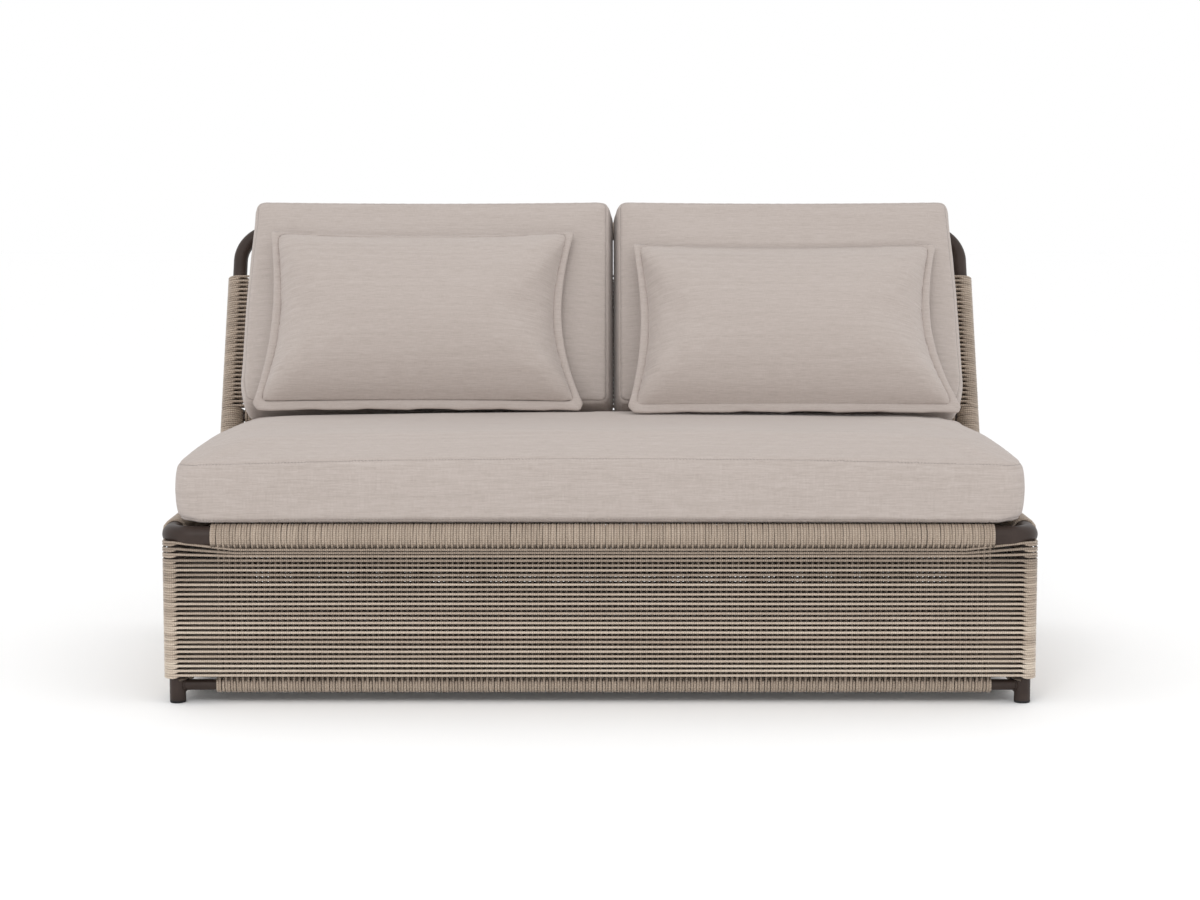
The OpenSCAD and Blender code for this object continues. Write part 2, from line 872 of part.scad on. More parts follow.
seat_rail_long(-1);  // seat_rail_front
seat_rail_long(1);  // seat_rail_rear
seat_rail_side(-1);  // seat_rail_left
seat_rail_side(1);  // seat_rail_right
seat_elbow(-1, -1);  // seat_elbow_front_left
seat_elbow(1, -1);  // seat_elbow_front_right
seat_elbow(-1, 1);  // seat_elbow_rear_left
seat_elbow(1, 1);  // seat_elbow_rear_right
post(-1, -1);  // post_front_left
post(1, -1);  // post_front_right
post(-1, 1);  // post_rear_left
post(1, 1);  // post_rear_right
lower_rail_long(-1);  // lower_rail_front
lower_rail_long(1);  // lower_rail_rear
lower_rail_side(-1);  // lower_rail_left
lower_rail_side(1);  // lower_rail_right
seat_bearer(-1);  // seat_bearer_left
seat_bearer(1);  // seat_bearer_right
foot_glides();
back_upright(-1);  // back_upright_left
back_upright(1);  // back_upright_right
back_elbow(-1);  // back_elbow_left
back_elbow(1);  // back_elbow_right
back_top_rail();
back_lower_rail();
seat_rail_winding_long(-1);  // seat_rail_winding_front
seat_rail_winding_long(1);  // seat_rail_winding_rear
seat_rail_winding_side(-1);  // seat_rail_winding_left
seat_rail_winding_side(1);  // seat_rail_winding_right
lower_rail_windings();
post_windings();
upright_winding(-1);  // upright_winding_left
upright_winding(1);  // upright_winding_right
back_top_rail_winding();
back_lower_rail_winding();
base_cords_long(-1);  // base_cords_front
base_cords_long(1);  // base_cords_rear
base_cords_side(-1);  // base_cords_left
base_cords_side(1);  // base_cords_right
back_cords();
seat_deck_cords();
seat_cushion_cover();
seat_cushion_core();
seat_cushion_zip();
back_cushion_cover(-1);  // back_cushion_left_cover
back_cushion_core(-1);  // back_cushion_left_core
back_cushion_zip(-1);  // back_cushion_left_zip
back_cushion_cover(1);  // back_cushion_right_cover
back_cushion_core(1);  // back_cushion_right_core
back_cushion_zip(1);  // back_cushion_right_zip
pillow_cover(-1);  // pillow_left_cover
pillow_fill(-1);  // pillow_left_fill
pillow_zip(-1);  // pillow_left_zip
pillow_cover(1);  // pillow_right_cover
pillow_fill(1);  // pillow_right_fill
pillow_zip(1);  // pillow_right_zip
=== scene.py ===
import math

import bpy
import numpy as np
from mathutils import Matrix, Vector
from mathutils.bvhtree import BVHTree
from mathutils.kdtree import KDTree


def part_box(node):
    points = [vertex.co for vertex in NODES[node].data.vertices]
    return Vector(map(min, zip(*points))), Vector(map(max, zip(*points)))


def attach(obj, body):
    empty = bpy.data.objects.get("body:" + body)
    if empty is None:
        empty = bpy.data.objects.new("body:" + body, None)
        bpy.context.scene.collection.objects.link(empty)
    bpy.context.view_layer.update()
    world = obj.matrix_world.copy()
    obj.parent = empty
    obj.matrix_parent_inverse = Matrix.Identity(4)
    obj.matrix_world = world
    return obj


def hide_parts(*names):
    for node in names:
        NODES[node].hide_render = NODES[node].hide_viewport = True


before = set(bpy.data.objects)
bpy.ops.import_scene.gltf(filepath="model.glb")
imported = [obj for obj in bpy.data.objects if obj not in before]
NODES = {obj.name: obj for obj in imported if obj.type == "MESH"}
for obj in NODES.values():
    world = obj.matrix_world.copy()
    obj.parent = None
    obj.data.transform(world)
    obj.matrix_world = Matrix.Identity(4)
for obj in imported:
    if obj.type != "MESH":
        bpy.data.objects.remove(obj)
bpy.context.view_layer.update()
TAU = math.tau
RIGHT = np.array((1.0, 0, 0))
BACK = np.array((0.0, 1, 0))
UP = np.array((0.0, 0, 1))
rng = np.random.default_rng(seed=7)

# Sizes that part.scad also names, in metres
CORD_R = 0.0024
CORD = 2 * CORD_R
BASE_ROWS = 28
BOTTOM_ROW_RISE = 0.011
BACK_ROWS = 31
BACK_WRAP_TOP_Z = 0.750
BACK_BEND = 0.070
POST_INSET = 0.0095
TOUCH_GAP = 0.0001
COVER_OVER_CORE = 0.0026

# Along the winding: its pitch, and how far the ends of the top three rows rise towards the posts
RIB_PITCH = 0.00525
TAIL_LIFTS = (0.013, 0.008, 0.003)
TAIL_RUN = 0.045
# Axes of the three top rows under the ring, which lie closer than the rest
TOP_ROWS_UNDER_RING = (0.0352, 0.0292, 0.0231)
ROW_PITCH = 0.0089


def centre(name):
    lo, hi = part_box(name)
    return (lo + hi) / 2


def thickness(name, axis):
    lo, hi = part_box(name)
    return hi[axis] - lo[axis]


class Axes:
    """A frame of its own for a piece: an origin and three directions in the world."""

    def __init__(self, origin, x, y, z):
        self.origin = np.array(origin)
        self.ways = np.array((x, y, z))

    def place(self, points):
        return self.origin + points @ self.ways

    def local(self, points):
        return (points - self.origin) @ self.ways.T


# The frame's axes and radii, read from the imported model
ring_r = thickness("seat_rail_front", 2) / 2
ring_y = -centre("seat_rail_front").y
ring_z = centre("seat_rail_front").z
post_x = -centre("post_front_left").x
post_y = -centre("post_front_left").y
post_r = thickness("post_front_left", 0) / 2
low_r = thickness("lower_rail_front", 2) / 2
low_z = centre("lower_rail_front").z
wrap_x = thickness("seat_rail_winding_front", 0) / 2
wrap_y = thickness("seat_rail_winding_left", 1) / 2
low_centre = centre("back_lower_rail")
top_centre = centre("back_top_rail")
upright_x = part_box("back_top_rail")[1].x + BACK_BEND

# The lean's plane: S climbs along it, N stands out to the front
S = (top_centre - low_centre).normalized()
N = Vector(RIGHT).cross(S)
LEAN_ORIGIN = low_centre - S * ((low_centre.z - ring_z) / S.z)
LEAN = Axes(LEAN_ORIGIN, RIGHT, S, N)
low_s = (low_centre - LEAN_ORIGIN).dot(S)
top_s = (top_centre - LEAN_ORIGIN).dot(S)

bottom_row_z = low_z + low_r + BOTTOM_ROW_RISE
row_out = post_r + 3 * CORD_R
row_in = post_r + CORD_R
column_out = row_out - CORD - TOUCH_GAP
ring_wrap_r = ring_r + CORD_R
low_wrap_r = low_r + CORD_R
back_wrap_r = post_r + CORD_R
back_first_s = low_s + low_r + CORD + CORD_R
back_last_s = (BACK_WRAP_TOP_Z - ring_z) / S.z - CORD_R
back_pitch = (back_last_s - back_first_s) / (BACK_ROWS - 1)
deck_z = ring_z + ring_r + CORD_R


def lean_points(x, s, n):
    """Points on the lean's plane, for arrays or numbers x, s and n."""
    return LEAN.place(np.stack(np.broadcast_arrays(x, s, n), -1))


def lean_loop(shape, x):
    """A flat shape of (n, s) on the lean's plane, at x."""
    return lean_points(x, shape[:, 1], shape[:, 0])


def unit(vectors):
    return vectors / np.linalg.norm(vectors, axis=1, keepdims=True)


def ease(x, start, end):
    t = np.clip((x - start) / (end - start), 0, 1)
    return t * t * (3 - 2 * t)


def set_all(thing, **values):
    for key, value in values.items():
        setattr(thing, key, value)
    return thing


def link(name, data):
    obj = bpy.data.objects.new(name, data)
    bpy.context.scene.collection.objects.link(obj)
    return obj


def link_mesh(name, verts, faces):
    mesh = bpy.data.meshes.new(name)
    mesh.vertices.add(len(verts))
    mesh.vertices.foreach_set("co", np.asarray(verts, np.float32).ravel())
    mesh.loops.add(faces.size)
    mesh.loops.foreach_set("vertex_index", faces.astype(np.int32).ravel())
    mesh.polygons.add(len(faces))
    mesh.polygons.foreach_set("loop_start", np.arange(0, faces.size, faces.shape[1], dtype=np.int32))
    mesh.update(calc_edges=True)
    mesh.polygons.foreach_set("use_smooth", np.ones(len(faces), bool))
    return link(name, mesh)


def add_point_values(obj, name, values):
    layer = obj.data.attributes.new(name, "FLOAT", "POINT")
    layer.data.foreach_set("value", np.asarray(values, np.float32))


def grid_quads(rows, columns, closed=True):
    """Faces through rows of points round a tube, whose last row joins the first when it's closed."""
    i = np.arange(rows if closed else rows - 1)[:, None] * columns
    j = np.arange(columns)
    i_next = (i + columns) % (rows * columns)
    j_next = (j + 1) % columns
    return np.stack([i + j, i + j_next, i_next + j_next, i_next + j], -1).reshape(-1, 4)


CORD_SIDES = 8
THIN_SIDES = 6
BRAID_PITCH = 0.0075


class CordGroup:
    """Round cords that are joined into one mesh, with a UV map that runs along and round each cord."""

    def __init__(self):
        self.parts = []
        self.count = 0

    def add(self, points, normal, closed=True, radius=CORD_R, sides=CORD_SIDES, shade=0.0, variety=1.0):
        """One cord through the points: shade is its painted light and shade along the way, and variety how
        far its own random tone strays.
        """
        count = len(points)
        if closed:
            tangent = np.roll(points, -1, 0) - np.roll(points, 1, 0)
        else:
            tangent = np.gradient(points, axis=0)
        tangent = unit(tangent)
        side = unit(np.cross(tangent, normal))
        up = np.cross(side, tangent)
        angle = np.arange(sides) * TAU / sides
        ring = side[:, None] * np.cos(angle)[:, None] + up[:, None] * np.sin(angle)[:, None]
        verts = (points[:, None] + radius * ring).reshape(-1, 3)
        quads = grid_quads(count, sides, closed) + self.count
        tone_and_shade = variety * rng.uniform(-1, 1) + np.broadcast_to(shade, count)
        self.parts.append((verts, quads, self.cord_uv(points, closed, sides), np.repeat(tone_and_shade, sides)))
        self.count += len(verts)

    def cord_uv(self, points, closed, sides):
        """UV of each face's corners: U counts the braid's repeats along the cord, V goes once round it."""
        spans = len(points) if closed else len(points) - 1
        steps = np.linalg.norm(np.roll(points, -1, 0) - points, axis=1)[:spans]
        along = np.concatenate([[0], np.cumsum(steps)])
        along = along / along[-1] * max(1, round(along[-1] / BRAID_PITCH))
        u0, u1 = (np.broadcast_to(u[:, None], (spans, sides)) for u in (along[:-1], along[1:]))
        v0 = np.broadcast_to(np.arange(sides) / sides, (spans, sides))
        v1 = v0 + 1 / sides
        return np.stack([u0, v0, u0, v1, u1, v1, u1, v0], -1).reshape(-1, 2)

    def build(self, name):
        verts, quads, uv, tones_and_shades = (np.concatenate(part) for part in zip(*self.parts))
        obj = link_mesh(name, verts, quads)
        obj.data.uv_layers.new(name="Cord").data.foreach_set("uv", uv.astype(np.float32).ravel())
        add_point_values(obj, "tone_and_shade", tones_and_shades)
        return obj


# Shapes of single cords, as points in a plane of two coordinates
def arc_points(cx, cy, r, start, end, steps):
    a = np.radians(np.linspace(start, end, steps + 1))
    return np.stack([cx + r * np.cos(a), cy + r * np.sin(a)], -1)


def line_points(start, end, steps):
    """The points between two ends, without the ends."""
    t = np.linspace(0, 1, steps + 1)[1:-1, None]
    return np.asarray(start) * (1 - t) + np.asarray(end) * t


def stadium(half, r, r_in, dive, steps=14, arc_steps=12):
    """A long loop round two posts, and each point's angle: 0 on the outer run, 180 on the inner.

    It starts round a post at the radius r, and dives to r_in between two of these angles.
    """
    turned = np.linspace(0, 180, arc_steps + 1)
    radius = r + (r_in - r) * ease(turned, *dive)
    a = np.radians(turned)
    right = np.stack([half + radius * np.sin(a), radius * np.cos(a)], -1)
    left = right[::-1] * (-1, 1)
    outer = line_points(left[-1], right[0], steps)
    inner = line_points(right[-1], left[0], steps)
    points = np.concatenate([outer, right, inner, left])
    angles = np.concatenate([np.zeros(len(outer)), turned, np.full(len(inner), 180.0), turned[::-1]])
    return points, angles


def waver(x, size, length):
    """A small smooth deviation along a cord."""
    phase = rng.uniform(0, TAU, 2)
    long_wave = np.sin(x / length * TAU + phase[0])
    short_wave = 0.6 * np.sin(2.7 * x / length * TAU + phase[1])
    return size * (long_wave + short_wave) / 1.6


# The base's panels: ways out and along, the posts' places along and out, and half the winding's length
PANELS = {
    "front": (-BACK, RIGHT, post_x, post_y, wrap_x),
    "rear": (BACK, -RIGHT, post_x, post_y, wrap_x),
    "left": (-RIGHT, -BACK, post_y, post_x, wrap_y),
    "right": (RIGHT, BACK, post_y, post_x, wrap_y),
}
# Size and length of the cords' small deviations
ROW_WAVER = (0.0003, 1.3)
COLUMN_WAVER = (0.0004, 0.3)
BACK_ROW_WAVER = (0.0003, 1.1)
BACK_COLUMN_WAVER = (0.0004, 0.4)
COLUMN_SHEAR = 0.002
# Angles of its turn between which a row dives from the outer to the inner layer
ROW_DIVE = (75, 120)
# Angles between which a row's painted shade darkens its tone to that of the inner layer
ROW_DARKENS = (95, 135)
# How much higher the inner run lies than halfway between the rows, as a share of the pitch
INNER_SHIFT = 0.19
# Cords of the inner layer get a painted shade, a darker tone where they lie behind the outer runs
INNER_PAINTED_SHADE = 6.8
# Painted light on the outer runs, most on the lower rows, and painted shade on the top rows under the ring;
# the rows are not all alike
OUTER_PAINTED_LIGHT = (4.2, -1.0)
ROW_VARIETY = 2.2
# The turns on a rail differ little in tone, and where they pass under it, between the loops, they get a
# painted shade
TURN_VARIETY = 0.6
UNDER_PAINTED_SHADE = 8.0
UNDER_SHADE_START = (0.010, 0.016)
# Turns that fill the gaps between the upright loops on a rail are a little thicker, and lie aslant
FILL_R = 0.00258
RING_FILL_R = 0.0030
FILL_SLANT = (0.01, 0.012)
FILL_STRAY = 0.0001
# The winding starts and ends a little late, and the lower rail's starts later still
WRAP_SHIFT = 0.0047
LOW_WRAP_LESS = 0.0048
# Where an upright loop is hidden by the rows, and gets painted shade: above the lower rail's axis, and
# below the ring's
HIDDEN_ABOVE_LOW = (0.014, 0.024)
HIDDEN_UNDER_RING = (0.022, 0.034)


def row_heights():
    heights = [bottom_row_z + k * ROW_PITCH for k in range(BASE_ROWS - len(TOP_ROWS_UNDER_RING))]
    return heights + [ring_z - under for under in TOP_ROWS_UNDER_RING]


def panel_rows(panel):
    """Rows of a panel: each turns round its two posts, and dives under the rows of the next panels."""
    out, along, half, distance, _ = PANELS[panel]
    group = CordGroup()
    shift = 0 if panel in ("front", "rear") else -ROW_PITCH / 2
    flat, turned = stadium(half, row_out, row_in, ROW_DIVE)
    inner_shade_mask = ease(turned, *ROW_DARKENS)
    up = ROW_PITCH * (ease(turned, *ROW_DIVE) / 2 + INNER_SHIFT * ease(turned, ROW_DIVE[1], 180))
    for row, z in enumerate(row_heights()):
        from_top = BASE_ROWS - 1 - row
        lift = TAIL_LIFTS[from_top] if from_top < len(TAIL_LIFTS) else 0
        rise = lift * ease(np.abs(flat[:, 0]), half - TAIL_RUN, half)
        height = z + shift + rise + up + waver(flat[:, 0], *ROW_WAVER)
        points = flat[:, :1] * along + (distance + flat[:, 1:]) * out + height[:, None] * UP
        # Painted light on this row's outer run, which the inner layer's painted shade replaces as the row
        # turns inward
        painted_light = np.interp(row, (0, BASE_ROWS - 1), OUTER_PAINTED_LIGHT)
        group.add(points, UP, shade=painted_light - (INNER_PAINTED_SHADE + painted_light) * inner_shade_mask, variety=ROW_VARIETY)
        if row == 0:
            # The lowest row's extra inner run gets the full painted shade of the inner layer
            low_inner_run = points[turned > 90] - ROW_PITCH * UP
            group.add(low_inner_run, UP, closed=False, shade=-INNER_PAINTED_SHADE)
    return group


def column_shape():
    """One upright loop: over the seat rail, down behind the rows, and round the lower rail."""
    leave = math.degrees(math.acos((column_out - POST_INSET) / ring_wrap_r))
    over = arc_points(POST_INSET, ring_z, ring_wrap_r, 180, -leave, 14)
    under = arc_points(0, low_z, low_wrap_r, 20, -180, 9)
    lean_in = (column_out, low_z + low_r + 3.4 * CORD_R + 0.003)
    below_ring = (column_out, over[-1][1] - 0.002)
    down = [[below_ring], line_points(below_ring, lean_in, 6), [lean_in]]
    return np.concatenate([over, *down, under, line_points(under[-1], over[0], 5)])


def turn_shape(cx, cz, r, steps=14):
    return arc_points(cx, cz, r, 0, 360 - 360 / steps, steps - 1)


def place_in_panel(shape, t, panel, shear):
    """A flat shape of (out, z) at the place t along a panel, sheared a little along it."""
    out, along, _, distance, _ = PANELS[panel]
    lean = t + shear * (shape[:, 1] - shape[:, 1].mean())
    return lean[:, None] * along + (distance + shape[:, :1]) * out + shape[:, 1:] * UP


def add_column(group, shape, t, panel):
    """An upright loop, with painted shade where it lies behind the rows."""
    along = PANELS[panel][1]
    shaded_behind_rows = ease(shape[:, 1] - low_z, *HIDDEN_ABOVE_LOW)
    shaded_behind_rows *= ease(ring_z - shape[:, 1], *HIDDEN_UNDER_RING)
    sway = waver(shape[:, 1], *COLUMN_WAVER)
    points = place_in_panel(shape, t, panel, rng.normal(0, COLUMN_SHEAR)) + sway[:, None] * along
    group.add(points, along, shade=-INNER_PAINTED_SHADE * shaded_behind_rows, variety=TURN_VARIETY)


def add_fill_turn(group, turn, t, panel, radius, under):
    slant = rng.normal(*FILL_SLANT)
    points = place_in_panel(turn, t + rng.normal(0, FILL_STRAY), panel, slant)
    # Painted shade on the part of the turn that passes under the rail
    shade = -UNDER_PAINTED_SHADE * under
    group.add(points, PANELS[panel][1], radius=radius, sides=THIN_SIDES, shade=shade, variety=TURN_VARIETY)


def panel_columns(panel):
    """Upright loops of a panel, and single turns that fill the gaps between them on both rails."""
    wrap = PANELS[panel][-1]
    group = CordGroup()
    shape = column_shape()
    top_turn = turn_shape(POST_INSET, ring_z, ring_wrap_r)
    low_turn = turn_shape(0, low_z, low_wrap_r, 12)
    # Where a turn on the ring gets painted shade: its underside, below the ring's axis
    shade_under_ring = ease(ring_z - top_turn[:, 1], *UNDER_SHADE_START)
    places = int(round(2 * wrap / RIB_PITCH))
    for i in range(places + 1):
        start = 2 * wrap * i / places
        t = start - wrap + WRAP_SHIFT
        at_end = start < LOW_WRAP_LESS
        if i % 2 == 0 and not at_end:
            add_column(group, shape, t, panel)
            continue
        add_fill_turn(group, top_turn, t, panel, RING_FILL_R, shade_under_ring)
        if not at_end:
            add_fill_turn(group, low_turn, t, panel, FILL_R, 0.0)
    return group


DECK_END_INSET = 0.0125
DECK_END_DROP = 0.0006


def deck_cords():
    group = CordGroup()
    count = int(round(2 * wrap_x / RIB_PITCH))
    end = ring_y - DECK_END_INSET
    y = np.linspace(-end, end, 9)
    z = np.full(9, deck_z)
    z[[0, -1]] -= DECK_END_DROP
    for i in range(count + 1):
        x = -wrap_x + CORD_R + (2 * wrap_x - CORD) * i / count
        group.add(np.stack([np.full(9, x), y, z], -1), UP, closed=False, sides=THIN_SIDES)
    return group


# Angles between which a row of the backrest climbs to its rear run, and that climb as a share of the pitch
BACK_DIVE = (20, 160)
REAR_SHIFT = 0.39
BACK_FILL_SLANT = (0.02, 0.03)
# Where a loop of the backrest is hidden by its rows, and gets painted shade: above the lower rail's axis,
# and about the last row
HIDDEN_AT_LAST = (-0.006, 0.004)
COIL_SLANT = 0.0003
COIL_LIFT = 0.006
# Angles of a fill turn on an upright between which it comes out of the rows, and goes in again
FILL_OUT = (-18, 8)
FILL_IN = (172, 198)


def back_rows():
    """Rows of the backrest: their rear runs lie a little higher, so that they close the gaps."""
    group = CordGroup()
    flat, turned = stadium(upright_x, row_out, row_out, BACK_DIVE)
    up = REAR_SHIFT * back_pitch * ease(turned, *BACK_DIVE)
    for row in range(BACK_ROWS):
        s = back_first_s + row * back_pitch + up + waver(flat[:, 0], *BACK_ROW_WAVER)
        group.add(lean_points(flat[:, 0], s, flat[:, 1]), S)
    return group


def add_coil(group, x, places, r, sides, steps):
    """Single turns of cord round an upright, each a little slanted."""
    a = np.arange(steps) * TAU / steps
    for place in places:
        s = place + rng.normal(0, COIL_SLANT) * np.cos(a)
        group.add(lean_points(x - r * np.cos(a), s, r * np.sin(a)), S, sides=sides)


def upright_turns(side):
    """Turns between the rows on an upright's outer half, and a close coil below them."""
    x = side * upright_x
    group = CordGroup()
    turned = np.arange(-90, 270, 15.0)
    outside = ease(turned, *FILL_OUT) * (1 - ease(turned, *FILL_IN))
    inner_way = np.where(turned < 0, -turned / 180, 1 - (turned - 180) / 180)
    way = np.where((turned < 0) | (turned > 180), inner_way, ease(turned, *BACK_DIVE))
    radius = row_in + (row_out - row_in) * outside
    a = np.radians(turned)
    for row in range(BACK_ROWS - 1):
        s = back_first_s + back_pitch * (row + 1 - 0.5 * outside + REAR_SHIFT * way)
        points = lean_points(x + side * radius * np.sin(a), s, radius * np.cos(a))
        group.add(points, S, radius=FILL_R)
    start = (deck_z + CORD_R - ring_z) / S.z + CORD_R + COIL_LIFT
    add_coil(group, x, np.arange(back_first_s - back_pitch / 2, start, -CORD), row_out, CORD_SIDES, 20)
    add_coil(group, x, np.arange(start, back_first_s, CORD), back_wrap_r, THIN_SIDES, 16)
    return group


def back_column_shape():
    """One upright loop of the backrest, as points (n, s)."""
    over = arc_points(0, top_s, back_wrap_r, 180, 0, 12)
    under = arc_points(0, low_s, low_wrap_r, 12, -192, 11)
    front_in = (column_out, low_s + 0.030)
    rear_in = (-column_out, low_s + 0.030)
    down = [line_points(over[-1], front_in, 6), [front_in]]
    return np.concatenate([over, *down, under, [rear_in], line_points(rear_in, over[0], 6)])


def back_columns():
    """Upright loops of the backrest, with turns between them, and the rail's ends beyond them."""
    group = CordGroup()
    shape = back_column_shape()
    s = shape[:, 1]
    shaded_between = ease(s - low_s, *HIDDEN_ABOVE_LOW)
    shaded_between *= 1 - ease(s - back_last_s, *HIDDEN_AT_LAST)
    top_turn = turn_shape(0, top_s, back_wrap_r, 16)
    low_turn = turn_shape(0, low_s, low_wrap_r, 12)
    half = upright_x - BACK_BEND - CORD_R
    places = int(round(2 * half / RIB_PITCH))
    for i in range(places + 1):
        x = -half + 2 * half * i / places
        if i % 2 == 0:
            sway = waver(s, *BACK_COLUMN_WAVER)
            # Painted shade, half that of the base's inner layer, where the loop lies between the rows
            group.add(lean_loop(shape, x + sway), RIGHT, shade=-INNER_PAINTED_SHADE / 2 * shaded_between)
            continue
        for turn in (top_turn, low_turn):
            lean = rng.normal(*BACK_FILL_SLANT) * (turn[:, 1] - turn[:, 1].mean())
            group.add(lean_loop(turn, x + lean), RIGHT, sides=THIN_SIDES)
    end = upright_x - post_r - 2 * CORD - CORD_R
    short = shape[s < back_last_s + CORD]
    for side in (-1, 1):
        group.add(lean_loop(short, side * (end - CORD_R)), RIGHT)
        for x in np.arange(half + RIB_PITCH, end, RIB_PITCH):
            group.add(lean_loop(low_turn, side * x), RIGHT, sides=THIN_SIDES)
    return group


BEAD_R = 0.0017


def weld_beads():
    """Fillets where the lower rails meet the posts."""
    group = CordGroup()
    a = np.radians(np.arange(0, 360, 15))
    off = (low_r + BEAD_R / 2) * np.cos(a)
    z = low_z + (low_r + BEAD_R / 2) * np.sin(a)
    reach = np.sqrt((post_r + BEAD_R / 2) ** 2 - np.minimum(off, post_r) ** 2)
    for side_x in (-1, 1):
        for side_y in (-1, 1):
            x = side_x * (post_x - reach)
            group.add(np.stack([x, side_y * post_y + off, z], -1), RIGHT, radius=BEAD_R)
            y = side_y * (post_y - reach)
            group.add(np.stack([side_x * post_x + off, y, z], -1), BACK, radius=BEAD_R)
    return group


# Materials
def new_material(name):
    material = bpy.data.materials.new(name)
    material.use_nodes = True
    tree = material.node_tree
    shader = tree.nodes["Principled BSDF"]
    return material, tree, shader


def node(tree, kind, **values):
    return set_all(tree.nodes.new(kind), **values)


def feed(made, values):
    """Gives each of a node's inputs, by name or number, a value or a link."""
    for key, value in values.items():
        if isinstance(value, bpy.types.NodeSocket):
            made.id_data.links.new(value, made.inputs[key])
        else:
            made.inputs[key].default_value = value
    return made


def math_node(operation, first, *others):
    made = node(first.id_data, "ShaderNodeMath", operation=operation)
    return feed(made, dict(enumerate((first, *others)))).outputs[0]


def weighted_sum(start, *terms):
    """Adds outputs to a start, each times its weight."""
    for output, weight in terms:
        start = math_node("MULTIPLY_ADD", output, weight, start)
    return start


def wave_product(outputs, factor):
    """The product of two sine waves, as crossing threads have."""
    waves = [math_node("SINE", math_node("MULTIPLY", part, factor)) for part in outputs]
    return math_node("MULTIPLY", *waves)


def noise_node(vector, scale, detail=2.0, roughness=0.5):
    made = node(vector.id_data, "ShaderNodeTexNoise")
    values = {"Vector": vector, "Scale": scale, "Detail": detail, "Roughness": roughness}
    return feed(made, values).outputs["Fac"]


def scaled(vector, sizes):
    made = node(vector.id_data, "ShaderNodeMapping")
    return feed(made, {"Scale": sizes, "Vector": vector}).outputs["Vector"]


def split(vector):
    return feed(node(vector.id_data, "ShaderNodeSeparateXYZ"), {0: vector}).outputs


def object_place(tree):
    return node(tree, "ShaderNodeTexCoord").outputs["Object"]


def attribute(tree, name):
    return node(tree, "ShaderNodeAttribute", attribute_name=name).outputs


def ramp_node(factor, stops):
    made = node(factor.id_data, "ShaderNodeValToRGB")
    elements = made.color_ramp.elements
    while len(elements) < len(stops):
        elements.new(0.5)
    for element, (place, colour) in zip(elements, stops):
        element.position = place
        element.color = (*colour, 1)
    return feed(made, {"Fac": factor}).outputs["Color"]


def bump(height, distance, strength=1.0):
    made = node(height.id_data, "ShaderNodeBump")
    return feed(made, {"Distance": distance, "Strength": strength, "Height": height}).outputs["Normal"]


CORD_DARK = (0.09, 0.066, 0.048)
CORD_MID = (0.46, 0.365, 0.285)
CORD_PALE = (0.82, 0.72, 0.60)
CORD_STOPS = ((0.12, CORD_DARK), (0.45, CORD_MID), (0.8, CORD_PALE))
BRAID_STRANDS = 4.0
MELANGE_SCALE = 900.0
PATCH_SCALE = 14.0


def cord_material():
    """Braided cord of mixed yarns, where each cord has a tone of its own, and painted light and shade along
    it.
    """
    material, tree, shader = new_material("braided_cord")
    u, v, _ = split(node(tree, "ShaderNodeUVMap", uv_map="Cord").outputs["UV"])
    across = math_node("MULTIPLY", v, BRAID_STRANDS)
    strands = [math_node("ADD", u, across), math_node("SUBTRACT", u, across)]
    braid = math_node("MULTIPLY_ADD", wave_product(strands, TAU), 0.5, 0.5)
    place = object_place(tree)
    melange = noise_node(place, MELANGE_SCALE, 3.0, 0.7)
    patches = noise_node(place, PATCH_SCALE)
    # Each cord's random tone together with its painted light and shade shifts the colour ramp
    tone_and_shade = attribute(tree, "tone_and_shade")["Fac"]
    mixed = weighted_sum(-0.17, (melange, 0.75), (braid, 0.28), (tone_and_shade, 0.05), (patches, 0.1))
    feed(shader, {
        "Base Color": ramp_node(mixed, CORD_STOPS), "Roughness": 0.4, "Sheen Weight": 0.1,
        "Sheen Roughness": 0.5, "Specular IOR Level": 0.5,
        "Normal": bump(weighted_sum(braid, (melange, 0.3)), 0.0005),
    })
    return material


COAT_GRAIN_SCALE = 1400.0
COAT_CLOUD_SCALE = 18.0


def coat_material(name, colour, roughness):
    """A fine-grained coat, a little paler and rougher in clouds."""
    material, tree, shader = new_material(name)
    place = object_place(tree)
    fine = noise_node(place, COAT_GRAIN_SCALE)
    wide = noise_node(place, COAT_CLOUD_SCALE, 3.0)
    paler = tuple(min(1, c * 1.5 + 0.006) for c in colour)
    feed(shader, {
        "Base Color": ramp_node(wide, ((0.3, colour), (0.75, paler))),
        "Roughness": math_node("MULTIPLY_ADD", wide, 0.16, roughness - 0.08),
        "Metallic": 0.0, "Specular IOR Level": 0.22, "Coat Weight": 0.05, "Coat Roughness": 0.35,
        "Normal": bump(fine, 0.00012, 0.6),
    })
    return material


# Streaks of the yarn, from slubs and fine ones to wide bands and cross threads: length, width, the noise's
# detail, and the share in the colour
STREAKS = (
    (0.030, 0.0013, 3.0, 0.42),
    (0.009, 0.0006, 2.0, 0.26),
    (0.30, 0.008, 2.0, 0.16),
    (0.0008, 0.014, 1.0, 0.16),
)
PANEL_CHANGE = 50.0
THREAD_PITCH = 0.0016
SEAM_LINE = (0.0005, 0.0020)
FABRIC_DARK = (0.40, 0.345, 0.312)
FABRIC_MID = (0.465, 0.405, 0.372)
FABRIC_PALE = (0.52, 0.462, 0.43)
FABRIC_STOPS = ((0.36, FABRIC_DARK), (0.5, FABRIC_MID), (0.64, FABRIC_PALE))


def seam_line(tree):
    """1 on a seam, and 0 a little way off it."""
    line = node(tree, "ShaderNodeMapRange", interpolation_type="SMOOTHSTEP")
    distance = math_node("ABSOLUTE", attribute(tree, "seam")["Fac"])
    ends = {"From Min": SEAM_LINE[0], "From Max": SEAM_LINE[1], "To Min": 1.0, "To Max": 0.0}
    return feed(line, {"Value": distance, **ends}).outputs[0]


